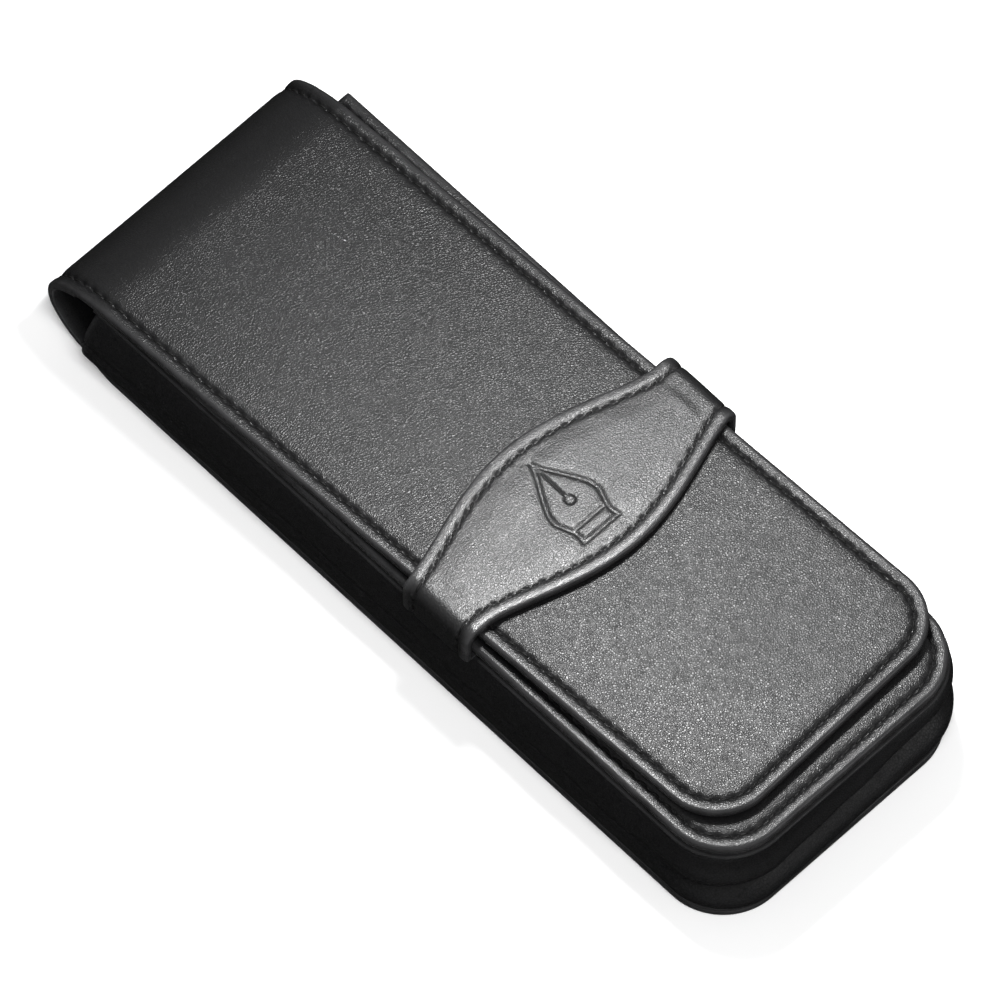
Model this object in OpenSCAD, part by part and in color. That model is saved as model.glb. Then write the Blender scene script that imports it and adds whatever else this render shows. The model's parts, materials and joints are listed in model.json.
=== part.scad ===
// Pen case for three fountain pens: a stiffened leather pouch lying on its back.
// Its back, the fold over the mouth and the long flap are one run of leather, and a
// stitched strap across the front holds the flap down.
// +X runs along the case from the mouth to the closed bottom, +Y across it, +Z up.
// The origin is under the middle of the closed case, on the surface that it lies on.

/* [Case] */
// Length of the front panel, from its mouth edge to the closed bottom
panel_l = 160.5; // [130:0.5:200]
// Width of the front and back panels
panel_w = 63; // [50:0.5:90]
// Height from the back panel's outer face to the front panel's outer face
case_h = 26; // [20:0.5:40]
// Radius of the two corners at the closed bottom
corner_r = 12.5; // [8:0.5:18]
// How far the back panel runs past the front panel at the mouth
back_lead = 3; // [1:0.5:8]

/* [Layers] */
// Thickness of the outer leather
leather_t = 1.2; // [0.8:0.1:1.8]
// Thickness of the stiffening boards in the front and back
board_t = 0.8; // [0.4:0.1:1.2]
// Thickness of the lining leather
lining_t = 0.5; // [0.3:0.1:0.8]
// Thickness of the welt sewn in between a panel and the gusset
welt_t = 0.8; // [0.5:0.1:1.2]
// Width of leather turned in around a panel's edge
turn_in = 5; // [3:0.5:7]

/* [Gusset] */
// Thickness of the gusset leather
gusset_t = 1; // [0.6:0.1:1.4]
// How far the gusset's wall bulges past the panels' edge
gusset_bulge = 1.6; // [0.5:0.1:3]
// Width of the flanges that are sewn to the panels
flange_w = 4; // [3:0.5:6]

/* [Flap] */
// Margin of the flap and the fold inside each side of the panel
flap_margin = 1; // [0.5:0.1:3]
// Margin of the flap's tip inside the closed end of the panel
tip_margin = 6.1; // [4:0.1:12]
// Radius of the two corners at the flap's tip
flap_r = 11.5; // [6:0.5:18]
// Thickness of the thin board in the flap
flap_board_t = 0.5; // [0.3:0.1:0.8]
// Air between the flap's lining and the front panel
flap_gap = 0.8; // [0.6:0.1:2]
// How far the fold stands out past the front panel's mouth edge
fold_reach = 12.5; // [9:0.5:16]
// Angle by which the flap lies askew on the front
flap_skew = 2; // [0:0.1:2.2]
// Play between two neighbouring strips of the fold
fold_play = 0.3; // [0.2:0.05:0.5]

/* [Strap] */
// Distance from the front panel's mouth edge to the strap's middle
strap_pos = 89.5; // [70:0.5:105]
// Width of the strap at the middle of the front
strap_mid_w = 30; // [22:0.5:40]
// Width of the strap at the panel's edges
strap_end_w = 16.5; // [12:0.5:22]
// Thickness of the strap's outer leather
strap_t = 1.3; // [0.9:0.1:1.8]
// Thickness of the padding under the middle of the strap
filler_t = 0.6; // [0.3:0.1:0.9]
// Air between the strap and the flap, and beside the panel
strap_gap = 0.5; // [0.4:0.1:1]
// Inner radius where the strap turns down at the panel's edges
strap_bend_r = 1.5; // [1:0.5:4]

/* [Inside] */
// Thickness of the two dividers between the pens
divider_t = 1.2; // [0.8:0.1:2]
// Clearance between a divider's end and the gusset's flanges
divider_end_gap = 0.2; // [0.1:0.1:1]
// Length of the leather facings inside the mouth
facing_l = 12; // [8:0.5:20]
// Thickness of the facings
facing_t = 0.6; // [0.4:0.1:0.9]

/* [Stitching] */
// Distance from one stitch to the next
stitch_pitch = 3.1; // [2.5:0.1:4]
// Distance from a panel's edge to the middle of its stitch row
stitch_inset = 2.7; // [2.2:0.1:3.5]
// Width of the sewing thread
thread_w = 0.6; // [0.4:0.05:0.8]

/* [Hidden] */
$fn = 64;

// An overlap for cuts, and a size larger than the case for cutting blocks
cut = 1;
big = 400;

// Colours of the pieces
c_leather = [0.06, 0.06, 0.065];
c_lining = [0.12, 0.12, 0.13];
c_board = [0.45, 0.4, 0.33];
c_thread = [0.02, 0.02, 0.02];

// Heights of the layers, from the back's outer face up
panel_t = leather_t + board_t + lining_t;
gusset_z0 = panel_t + welt_t;
gusset_z1 = case_h - panel_t - welt_t;
fold_t = leather_t + lining_t;
flap_t = leather_t + flap_board_t + lining_t;
flap_z0 = case_h + flap_gap;
flap_top = flap_z0 + flap_t;
strap_z0 = flap_top + strap_gap;

// Places along X: the fold's nose and the gusset's end are as far from the origin
case_l = panel_l + gusset_bulge + fold_reach;
mouth_x = fold_reach - case_l / 2;
back_x = mouth_x - back_lead;
bottom_x = mouth_x + panel_l;
tip_x = bottom_x - tip_margin;
flap_w = panel_w - 2 * flap_margin;
strap_x = mouth_x + strap_pos;
board_margin = turn_in + 0.2;

// The fold turns by the same angle at each of its hinge lines, and each strip between
// two lines is flat. The three middle strips are equal; the end ones follow from
// the flap's height, the fold's reach and the back's lead.
fold_n = 5;
fold_step = 180 / (fold_n + 1);
nose = fold_reach - back_lead;
lead_l = back_lead / cos(fold_step);
strip_mid = (flap_top - sin(fold_step) * (2 * nose / cos(fold_step) + lead_l))
    / (2 * sin(2 * fold_step) + 1 - 2 * sin(fold_step) * cos(2 * fold_step) / cos(fold_step));
strip_first = (nose - strip_mid * cos(2 * fold_step)) / cos(fold_step);
strip_lengths = [strip_first, strip_mid, strip_mid, strip_mid, strip_first + lead_l];
function fold_dir(k) = [-cos(k * fold_step), sin(k * fold_step)];
function fold_in(k) = [sin(k * fold_step), cos(k * fold_step)];
// The hinge lines' places in X and Z: 0 is at the back panel and fold_n at the flap
function fold_point(k) = k == 0 ? [back_x, 0]
    : fold_point(k - 1) + strip_lengths[k - 1] * fold_dir(k);
miter = tan(fold_step / 2);

// The flap lies askew about a point under it, and the fold takes up its side shift
skew_x = mouth_x + panel_l / 2;
flap_shift = (mouth_x - skew_x) * tan(flap_skew);
function fold_shift(k) = flap_shift * k / fold_n;

// The gusset's wall: outward distance at a share u of the way down it
function bulge_at(u) = gusset_bulge * sin(180 * u);
wall_steps = 14;

// Inner faces and dividers
inner_half = panel_w / 2 - gusset_t - lining_t;
channel_w = (2 * inner_half - 2 * divider_t) / 3;
divider_y = channel_w / 2 + divider_t / 2;
divider_x0 = mouth_x + facing_l;
divider_x1 = bottom_x - flange_w - divider_end_gap;
hem_l = 7;
hem_t = divider_t + 1;

// Stitches lie in a groove
groove_w = thread_w + 0.2;
groove_d = 0.4;
thread_sink = 0.05;
stitch_l = stitch_pitch - 0.8;

// The strap: height of the middle, and its outer faces
strap_layer = lining_t + strap_t;
strap_in_y = panel_w / 2 + strap_gap;
strap_out_y = strap_in_y + strap_layer;
strap_top = strap_z0 + lining_t + filler_t + strap_t;
strap_seam_z = case_h - panel_t - welt_t;
tab_in_y = panel_w / 2 - flange_w;
function strap_half(y) = strap_end_w / 2
    + (strap_mid_w - strap_end_w) / 2 * max(0, 1 - pow(y / (panel_w / 2 - 2), 2));

// ---- Shared outlines -------------------------------------------------------

// A panel's outline: square at x0, round corners of radius r at x1
module u_outline(x0, x1, w, r) {
    translate([x0, -w / 2]) square([x1 - r - x0, w]);
    translate([x1 - r - cut, r - w / 2]) square([r + cut, w - 2 * r]);
    for (side = [-1, 1]) translate([x1 - r, side * (w / 2 - r)]) circle(r);
}

// The same outline taken in by an inset on its three sewn sides
module u_inset(x0, x1, w, r, inset) {
    u_outline(x0, x1 - inset, w - 2 * inset, r - inset);
}

// A U-shaped band between two insets
module u_band(x0, x1, w, r, outer, inner) {
    difference() {
        u_inset(x0, x1, w, r, outer);
        u_inset(x0 - cut, x1, w, r, inner);
    }
}

module slab(z0, z1) {
    translate([0, 0, z0]) linear_extrude(z1 - z0) children();
}

// The groove that a panel's stitches lie in
module stitch_groove(x0, x1, w, r, z0, z1) {
    slab(z0, z1) u_band(x0 - cut, x1, w, r,
        stitch_inset - groove_w / 2, stitch_inset + groove_w / 2);
}

// A point on the stitch row around a panel, s along it: [x, y, direction]
function u_row(s, x0, x1, w, r) =
    let (side_l = x1 - r - x0, arc_l = PI * r / 2, end_l = w - 2 * r)
    s < side_l ? [x0 + s, -w / 2, 0]
    : s < side_l + arc_l ?
        let (a = (s - side_l) / arc_l * 90)
        [x1 - r + r * sin(a), r - w / 2 - r * cos(a), a]
    : s < side_l + arc_l + end_l ? [x1, r - w / 2 + s - side_l - arc_l, 90]
    : s < side_l + 2 * arc_l + end_l ?
        let (a = 90 + (s - side_l - arc_l - end_l) / arc_l * 90)
        [x1 - r + r * sin(a), w / 2 - r - r * cos(a), a]
    : [x1 - r - (s - side_l - 2 * arc_l - end_l), w / 2, 180];

module stitch() {
    translate([-stitch_l / 2, -thread_w / 2, 0])
        cube([stitch_l, thread_w, groove_d - thread_sink]);
}

// Stitches around a panel's three sewn sides, from height z0 up
module u_stitches(x0, x1, w, r, z0) {
    row_w = w - 2 * stitch_inset;
    row_r = r - stitch_inset;
    row_x1 = x1 - stitch_inset;
    total = 2 * (row_x1 - row_r - x0) + PI * row_r + row_w - 2 * row_r;
    count = floor(total / stitch_pitch);
    spare = (total - count * stitch_pitch) / 2;
    for (i = [0 : count - 1]) {
        p = u_row(spare + (i + 0.5) * stitch_pitch, x0, row_x1, row_w, row_r);
        translate([p[0], p[1], z0]) rotate(p[2]) stitch();
    }
}

// Everything in front of a mitred mouth end, to be cut off a panel. The cut leans
// inwards with depth from the outer face at height z, up for 1 and down for -1.
module mouth_cut(x, z, way) {
    translate([x + fold_play / 2, 0, z])
        rotate([0, way * fold_step / 2, 0])
            translate([-big, -big / 2, -big / 2]) cube([big, big, big]);
}

// ---- Back ------------------------------------------------------------------

module back_cut() {
    difference() {
        children();
        mouth_cut(back_x, 0, 1);
    }
}

module back_panel() {
    color(c_leather) back_cut() difference() {
        union() {
            slab(0, leather_t) u_outline(back_x, bottom_x, panel_w, corner_r);
            slab(leather_t, leather_t + board_t)
                u_band(back_x, bottom_x, panel_w, corner_r, 0, turn_in);
        }
        stitch_groove(back_x, bottom_x, panel_w, corner_r, -cut, groove_d);
    }
}

module back_board() {
    color(c_board) slab(leather_t, leather_t + board_t)
        u_inset(back_x + board_margin, bottom_x, panel_w, corner_r, board_margin);
}

module back_lining() {
    color(c_lining) back_cut() slab(leather_t + board_t, panel_t)
        u_outline(back_x, bottom_x, panel_w, corner_r);
}

module facing(x0, z0) {
    half = panel_w / 2 - flange_w - 0.5;
    color(c_leather) translate([x0, -half, z0]) cube([facing_l - 0.5, 2 * half, facing_t]);
}

module back_facing() {
    facing(mouth_x, panel_t);
}

module back_welt() {
    color(c_leather) slab(panel_t, gusset_z0)
        u_band(mouth_x, bottom_x, panel_w, corner_r, 0, flange_w);
}

module back_stitching() {
    color(c_thread)
        u_stitches(back_x + stitch_pitch, bottom_x, panel_w, corner_r, thread_sink);
}

// ---- Gusset and dividers ---------------------------------------------------

// A section of the gusset: a wall bulging outwards with a flange at each end.
// The first coordinate is the distance out from the panel's edge.
function wall_curve(z_low, z_high, inset) = [
    for (i = [0 : wall_steps])
        let (z = z_low + (z_high - z_low) * i / wall_steps)
        [bulge_at((z - gusset_z0) / (gusset_z1 - gusset_z0)) - inset, z]
];
function reversed(list) = [for (i = [len(list) - 1 : -1 : 0]) list[i]];
gusset_section = concat(
    [[-flange_w, gusset_z0]],
    wall_curve(gusset_z0, gusset_z1, 0),
    [[-flange_w, gusset_z1], [-flange_w, gusset_z1 - gusset_t]],
    reversed(wall_curve(gusset_z0 + gusset_t, gusset_z1 - gusset_t, gusset_t)),
    [[-flange_w, gusset_z0 + gusset_t]]);
lining_section = concat(
    wall_curve(gusset_z0 + gusset_t, gusset_z1 - gusset_t, gusset_t),
    reversed(wall_curve(gusset_z0 + gusset_t, gusset_z1 - gusset_t, gusset_t + lining_t)));

// Carries a section around the three closed sides of the case
module round_three_sides(section) {
    side_l = bottom_x - corner_r - back_x;
    end_l = panel_w - 2 * corner_r;
    for (side = [0, 1]) mirror([0, side, 0]) {
        translate([back_x, panel_w / 2, 0]) rotate([90, 0, 90])
            linear_extrude(side_l) polygon(section);
        translate([bottom_x - corner_r, panel_w / 2 - corner_r, 0])
            rotate_extrude(angle = 90)
                polygon([for (p = section) [p[0] + corner_r, p[1]]]);
    }
    translate([bottom_x, end_l / 2, 0]) rotate([90, 0, 0])
        linear_extrude(end_l) polygon(section);
}

// The gusset's mouth end slopes from the back's edge up to the front's edge
module slope_cut() {
    low = [back_x + leather_t, gusset_z0];
    high = [mouth_x, gusset_z1];
    lean = atan2(high[0] - low[0], high[1] - low[1]);
    translate([low[0], 0, low[1]]) rotate([0, lean, 0])
        translate([-big, -big / 2, -big / 2]) cube([big, big, big]);
}

module gusset() {
    color(c_leather) difference() {
        round_three_sides(gusset_section);
        slope_cut();
    }
}

module gusset_lining() {
    color(c_lining) difference() {
        round_three_sides(lining_section);
        slope_cut();
    }
}

// A divider runs from lining to lining, and its mouth end is folded over double
module divider(side) {
    color(c_lining) translate([divider_x0, side * divider_y, panel_t]) {
        h = case_h - 2 * panel_t;
        translate([0, -divider_t / 2, 0])
            cube([divider_x1 - divider_x0, divider_t, h]);
        translate([0, -hem_t / 2, 0]) cube([hem_l, hem_t, h]);
    }
}

module divider_left() { divider(1); }
module divider_right() { divider(-1); }

// ---- Front -----------------------------------------------------------------

module front_panel() {
    color(c_leather) difference() {
        union() {
            slab(case_h - leather_t, case_h) u_outline(mouth_x, bottom_x, panel_w, corner_r);
            slab(case_h - leather_t - board_t, case_h - leather_t) union() {
                u_band(mouth_x, bottom_x, panel_w, corner_r, 0, turn_in);
                translate([mouth_x, -panel_w / 2]) square([turn_in, panel_w]);
            }
        }
        stitch_groove(mouth_x, bottom_x, panel_w, corner_r, case_h - groove_d, case_h + cut);
    }
}

module front_board() {
    color(c_board) slab(case_h - leather_t - board_t, case_h - leather_t)
        u_inset(mouth_x + board_margin, bottom_x, panel_w, corner_r, board_margin);
}

module front_lining() {
    color(c_lining) slab(case_h - panel_t, case_h - panel_t + lining_t)
        u_outline(mouth_x, bottom_x, panel_w, corner_r);
}

module front_facing() {
    facing(mouth_x, case_h - panel_t - facing_t);
}

module front_welt() {
    color(c_leather) difference() {
        slab(strap_seam_z, case_h - panel_t)
            u_band(mouth_x, bottom_x, panel_w, corner_r, 0, flange_w);
        translate([strap_x - strap_end_w / 2 - 0.1, -panel_w, strap_seam_z - cut])
            cube([strap_end_w + 0.2, 2 * panel_w, welt_t + 2 * cut]);
    }
}

module front_stitching() {
    color(c_thread)
        u_stitches(mouth_x, bottom_x, panel_w, corner_r, case_h - groove_d);
}

// ---- Strap -----------------------------------------------------------------

// The strap's plan: wide in the middle and narrow at the panel's edges
plan_steps = 24;
module strap_plan(inset) {
    ys = [for (i = [0 : plan_steps]) panel_w * (i / plan_steps - 0.5)];
    reach = strap_out_y + cut;
    end_half = strap_end_w / 2 - inset;
    polygon(concat(
        [[strap_x - end_half, -reach]],
        [for (y = ys) [strap_x - strap_half(y) + inset, y]],
        [[strap_x - end_half, reach], [strap_x + end_half, reach]],
        [for (y = reversed(ys)) [strap_x + strap_half(y) - inset, y]],
        [[strap_x + end_half, -reach]]));
}

// A section of the band across the case: an arch with round shoulders
module arch(half, top, r) {
    square_top = top - r;
    translate([-half, strap_seam_z]) square([2 * half, square_top - strap_seam_z]);
    translate([r - half, strap_seam_z]) square([2 * half - 2 * r, top - strap_seam_z]);
    for (side = [-1, 1]) translate([side * (half - r), square_top]) circle(r);
}

// The strap's shell between its inner face and a section given as children,
// cut to the strap's plan
module strap_shell() {
    intersection() {
        translate([strap_x - strap_mid_w / 2, 0, 0]) rotate([90, 0, 90])
            linear_extrude(strap_mid_w) children();
        slab(0, strap_top + cut) strap_plan(0);
    }
}

// The strap's end, sewn in under the front panel's edge
module strap_tabs(z0, z1, outer_y) {
    for (side = [0, 1]) mirror([0, side, 0])
        translate([strap_x - strap_end_w / 2, tab_in_y, z0])
            cube([strap_end_w, outer_y - tab_in_y, z1 - z0]);
}

module filler_block() {
    inset = 4.5;
    half = panel_w / 2 - 6;
    slab(strap_z0 + lining_t, strap_z0 + lining_t + filler_t) intersection() {
        strap_plan(inset);
        translate([strap_x - strap_mid_w, -half]) square([2 * strap_mid_w, 2 * half]);
    }
}

module strap() {
    color(c_leather) {
        difference() {
            strap_shell() difference() {
                arch(strap_out_y, strap_top, strap_bend_r + strap_layer);
                arch(strap_in_y + lining_t, strap_z0 + lining_t, strap_bend_r + lining_t);
            }
            filler_block();
        }
        strap_tabs(strap_seam_z, strap_seam_z + welt_t / 2, strap_in_y + lining_t + 0.2);
    }
}

module strap_filler() {
    color(c_board) filler_block();
}

module strap_lining() {
    color(c_lining) difference() {
        union() {
            strap_shell() difference() {
                arch(strap_in_y + lining_t, strap_z0 + lining_t, strap_bend_r + lining_t);
                arch(strap_in_y, strap_z0, strap_bend_r);
            }
            strap_tabs(strap_seam_z + welt_t / 2, strap_seam_z + welt_t, strap_in_y + cut / 4);
        }
        translate([0, 0, strap_seam_z - cut])
            strap_tabs(0, cut + welt_t / 2, strap_in_y + lining_t + 0.2);
    }
}

// Two rows of stitches follow the strap's edges over the front and down its sides
module strap_stitching() {
    half_count = floor((panel_w / 2 - 1) / stitch_pitch);
    side_z = strap_top - strap_bend_r - strap_layer;
    side_count = floor((side_z - strap_seam_z) / stitch_pitch);
    color(c_thread) for (way = [-1, 1]) {
        for (i = [-half_count : half_count]) {
            y = i * stitch_pitch;
            slope = atan(way * (strap_half(y + 0.5) - strap_half(y - 0.5)));
            translate([strap_x + way * (strap_half(y) - stitch_inset), y, strap_top])
                rotate(90 - slope) stitch();
        }
        for (side = [-1, 1], i = [0 : side_count - 1])
            translate([strap_x + way * (strap_end_w / 2 - stitch_inset),
                side * strap_out_y, side_z - (i + 0.5) * stitch_pitch])
                rotate([0, 90, 0]) rotate([side * -90, 0, 0]) stitch();
    }
}

// ---- Fold ------------------------------------------------------------------

// The end face of strip k of the fold, between two depths from its outer face
module strip_face(k, d0, d1) {
    a = fold_point(k - 1);
    b = fold_point(k);
    u = fold_dir(k);
    n = fold_in(k);
    polygon([for (q = [[a, 1, d0], [b, -1, d0], [b, -1, d1], [a, 1, d1]])
        q[0] + n * q[2] + u * q[1] * (q[2] * miter + fold_play / 2)]);
}

// Strip k between two depths, over a width about a middle at y
module strip(k, d0, d1, w, y) {
    translate([0, w / 2 + y, 0]) rotate([90, 0, 0]) linear_extrude(w) strip_face(k, d0, d1);
}

// The groove for a strip's stitches runs out past both of its ends
module strip_groove(k, y) {
    a = fold_point(k - 1);
    b = fold_point(k);
    u = fold_dir(k);
    n = fold_in(k);
    ends = [[a, -cut, -cut], [b, cut, -cut], [b, cut, groove_d], [a, -cut, groove_d]];
    translate([0, groove_w / 2 + y, 0]) rotate([90, 0, 0]) linear_extrude(groove_w)
        polygon([for (q = ends) q[0] + u * q[1] + n * q[2]]);
}

module fold_leather(k) {
    color(c_leather) difference() {
        strip(k, 0, leather_t, flap_w, fold_shift(k - 0.5));
        for (side = [-1, 1])
            strip_groove(k, fold_shift(k - 0.5) + side * (flap_w / 2 - stitch_inset));
    }
}

module fold_lining(k) {
    color(c_lining) strip(k, leather_t, fold_t, flap_w, fold_shift(k - 0.5));
}

module fold_stitching(k) {
    count = floor((strip_lengths[k - 1] - fold_play) / stitch_pitch);
    step = strip_lengths[k - 1] / count;
    color(c_thread) for (side = [-1, 1], i = [0 : count - 1]) {
        p = fold_point(k - 1) + fold_dir(k) * (i + 0.5) * step + fold_in(k) * thread_sink;
        translate([p[0], fold_shift(k - 0.5) + side * (flap_w / 2 - stitch_inset), p[1]])
            rotate([0, k * fold_step, 0]) stitch();
    }
}

module fold_leather_1() { fold_leather(1); }
module fold_leather_2() { fold_leather(2); }
module fold_leather_3() { fold_leather(3); }
module fold_leather_4() { fold_leather(4); }
module fold_leather_5() { fold_leather(5); }
module fold_lining_1() { fold_lining(1); }
module fold_lining_2() { fold_lining(2); }
module fold_lining_3() { fold_lining(3); }
module fold_lining_4() { fold_lining(4); }
module fold_lining_5() { fold_lining(5); }
module fold_stitching_1() { fold_stitching(1); }
module fold_stitching_2() { fold_stitching(2); }
module fold_stitching_3() { fold_stitching(3); }
module fold_stitching_4() { fold_stitching(4); }
module fold_stitching_5() { fold_stitching(5); }

// ---- Flap ------------------------------------------------------------------

// Turns the flap askew and cuts its mouth end to meet the fold
module askew() {
    difference() {
        translate([skew_x, 0, 0]) rotate(flap_skew) translate([-skew_x, 0, 0]) children();
        mouth_cut(mouth_x, flap_top, -1);
    }
}

module flap_panel() {
    color(c_leather) askew() difference() {
        union() {
            slab(flap_top - leather_t, flap_top)
                u_outline(mouth_x - back_lead, tip_x, flap_w, flap_r);
            slab(flap_top - leather_t - flap_board_t, flap_top - leather_t)
                u_band(mouth_x - back_lead, tip_x, flap_w, flap_r, 0, turn_in);
        }
        stitch_groove(mouth_x - back_lead, tip_x, flap_w, flap_r, flap_top - groove_d,
            flap_top + cut);
    }
}

module flap_board() {
    color(c_board) askew() slab(flap_top - leather_t - flap_board_t, flap_top - leather_t)
        u_inset(mouth_x + board_margin, tip_x, flap_w, flap_r, board_margin);
}

module flap_lining() {
    color(c_lining) askew() slab(flap_z0, flap_z0 + lining_t)
        u_outline(mouth_x - back_lead, tip_x, flap_w, flap_r);
}

module flap_stitching() {
    color(c_thread) translate([skew_x, 0, 0]) rotate(flap_skew) translate([-skew_x, 0, 0])
        u_stitches(mouth_x + stitch_pitch, tip_x, flap_w, flap_r, flap_top - groove_d);
}

back_panel();
back_board();
back_lining();
back_facing();
back_welt();
back_stitching();
gusset();
gusset_lining();
divider_left();
divider_right();
front_panel();
front_board();
front_lining();
front_facing();
front_welt();
front_stitching();
strap();
strap_filler();
strap_lining();
strap_stitching();
fold_leather_1();
fold_leather_2();
fold_leather_3();
fold_leather_4();
fold_leather_5();
fold_lining_1();
fold_lining_2();
fold_lining_3();
fold_lining_4();
fold_lining_5();
fold_stitching_1();
fold_stitching_2();
fold_stitching_3();
fold_stitching_4();
fold_stitching_5();
flap_panel();
flap_board();
flap_lining();
flap_stitching();
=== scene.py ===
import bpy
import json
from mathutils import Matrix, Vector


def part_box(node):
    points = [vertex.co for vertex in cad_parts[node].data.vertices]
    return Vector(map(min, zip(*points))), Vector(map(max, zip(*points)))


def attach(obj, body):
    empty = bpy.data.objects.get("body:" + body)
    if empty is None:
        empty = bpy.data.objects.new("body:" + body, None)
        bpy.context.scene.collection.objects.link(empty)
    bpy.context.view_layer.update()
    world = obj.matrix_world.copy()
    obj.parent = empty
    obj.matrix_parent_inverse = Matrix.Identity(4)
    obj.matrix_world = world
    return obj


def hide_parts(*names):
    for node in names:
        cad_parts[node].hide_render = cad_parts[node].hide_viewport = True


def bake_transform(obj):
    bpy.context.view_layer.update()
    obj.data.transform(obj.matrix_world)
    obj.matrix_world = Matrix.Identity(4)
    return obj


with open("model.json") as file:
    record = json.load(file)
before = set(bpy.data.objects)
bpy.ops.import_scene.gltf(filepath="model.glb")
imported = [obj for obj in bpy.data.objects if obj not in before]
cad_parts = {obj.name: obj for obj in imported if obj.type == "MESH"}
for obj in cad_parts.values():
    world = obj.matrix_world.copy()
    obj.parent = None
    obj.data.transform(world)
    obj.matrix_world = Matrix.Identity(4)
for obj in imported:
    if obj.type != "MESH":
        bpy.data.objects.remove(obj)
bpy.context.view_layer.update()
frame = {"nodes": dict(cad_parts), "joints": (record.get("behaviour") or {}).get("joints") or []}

import json
import math

import bmesh
import bpy
import numpy as np
from bpy.props import FloatProperty, FloatVectorProperty, PointerProperty
from mathutils import Matrix, Quaternion, Vector

bl_info = {
    "name": "Leather pen case",
    "version": (1, 0, 0),
    "blender": (4, 5, 0),
    "location": "3D View > Sidebar > Pen case",
    "description": "Dresses a three-pen leather case: cover, front, gusset, strap and stitching",
    "category": "Object",
}

# All of the making below is in millimetres; a mesh is scaled to metres when it is made.
MM = 0.001


# ---- Sizes taken from the frame ---------------------------------------------

def low_high(node):
    """Lowest and highest corner of a frame node, in millimetres."""
    low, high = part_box(node)
    return np.array(low) / MM, np.array(high) / MM


FOLD_HINGES = np.array([[j["pos_m"][0], j["pos_m"][2]] for j in frame["joints"]]) / MM

front_low, front_high = low_high("front_panel")
flap_high = low_high("flap_panel")[1]
strap_low, strap_high = low_high("strap")
gusset_low, gusset_high = low_high("gusset")
welt_high = low_high("back_welt")[1]
back_lining_low, back_lining_high = low_high("back_lining")
flap_lining_high = low_high("flap_lining")[1]
strap_lining_high = low_high("strap_lining")[1]

PANEL_HALF = front_high[1]
CASE_TOP = front_high[2]
MOUTH_X = front_low[0]
BOTTOM_X = front_high[0]
CORNER_R = 12.5
FLANGE = welt_high[1] - 27.5
PANEL_T = back_lining_high[2]
LINING_T = PANEL_T - back_lining_low[2]
LEATHER_T = low_high("back_board")[0][2]
FLAP_TOP = FOLD_HINGES[-1][1]
FLAP_HALF = PANEL_HALF - 1.0
FLAP_R = 11.5
FLAP_SKEW = math.radians(2.0)
SKEW_X = (MOUTH_X + BOTTOM_X) / 2
TIP_X = flap_high[0] - (FLAP_HALF - FLAP_R) * math.sin(FLAP_SKEW)
STRAP_X = (strap_low[0] + strap_high[0]) / 2
STITCH_INSET = 2.7
PITCH = 3.1
GROOVE_DEPTH, VALLEY_DEPTH, HOLE_DEPTH = 0.3, 0.24, 0.65
THREAD_DEPTH = 0.46
STRAP_THREAD_DEPTH = 0.42
LINING_MARGIN = 0.2
GUSSET_T = 1.0
WELD_INSET = 1.6
STRAP_GAP = 8.6
STRAP_END_HALF = 8.25
STRAP_TUCK_Y = 29.0
COARSE_STEP = 1.6
TURN_IN = (5.0, 5.4)
SCRATCH_X, SCRATCH_Y = -52.2, 10.2


# ---- Small maths ------------------------------------------------------------

def ease(low, high, value):
    """0 below low, 1 above high, and a smooth step in between."""
    t = np.clip((np.asarray(value, float) - low) / (high - low), 0, 1)
    return t * t * (3 - 2 * t)


def bell(value, middle, spread):
    """A soft bump of height 1 around middle."""
    return np.exp(-(((np.asarray(value, float) - middle) / spread) ** 2))


def waves(a, b, length, seed, count=7):
    """Soft seeded unevenness between about -1 and 1, over two coordinates."""
    random = np.random.default_rng(seed)
    total = np.zeros(np.broadcast(a, b).shape)
    for _ in range(count):
        turn = random.uniform(0, 2 * math.pi)
        pace = 2 * math.pi / length * random.uniform(0.6, 1.5)
        phase = random.uniform(0, 2 * math.pi)
        total = total + np.sin(pace * (a * math.cos(turn) + b * math.sin(turn)) + phase)
    return total / math.sqrt(count) / 1.4


def rounding(reach, radius):
    """Share of the full thickness at a reach past a rounded end."""
    return np.sqrt(1 - (1 - np.clip(reach / radius, 0, 1)) ** 2)


def unit(vectors):
    """Vectors brought to length 1."""
    return vectors / np.linalg.norm(vectors, axis=-1)[..., None]


def run_along(line):
    """How far each point of a line lies along it."""
    return np.concatenate([[0], np.cumsum(np.linalg.norm(np.diff(line, axis=0), axis=1))])


def points_at(x, y, z):
    """Points from their coordinates, any of which may be one number."""
    return np.stack(np.broadcast_arrays(x, y, z), -1)


def rim_mask(inset, reach=1.7):
    """1 on an edge, 0 from a reach inward."""
    return 1 - ease(0.2, reach, inset)


def needle_holes(phase, spread=0.17):
    """1 where a stitch row's phase is a whole number, 0 in between."""
    return bell(phase - np.round(phase), 0, spread)


def edge_drop(inset, radius):
    """How far a rounded edge has dropped at an inset from the edge."""
    reach = radius - np.clip(inset, 0, radius)
    return radius - np.sqrt(np.maximum(radius ** 2 - reach ** 2, 0))


# ---- Meshes -----------------------------------------------------------------

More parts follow.
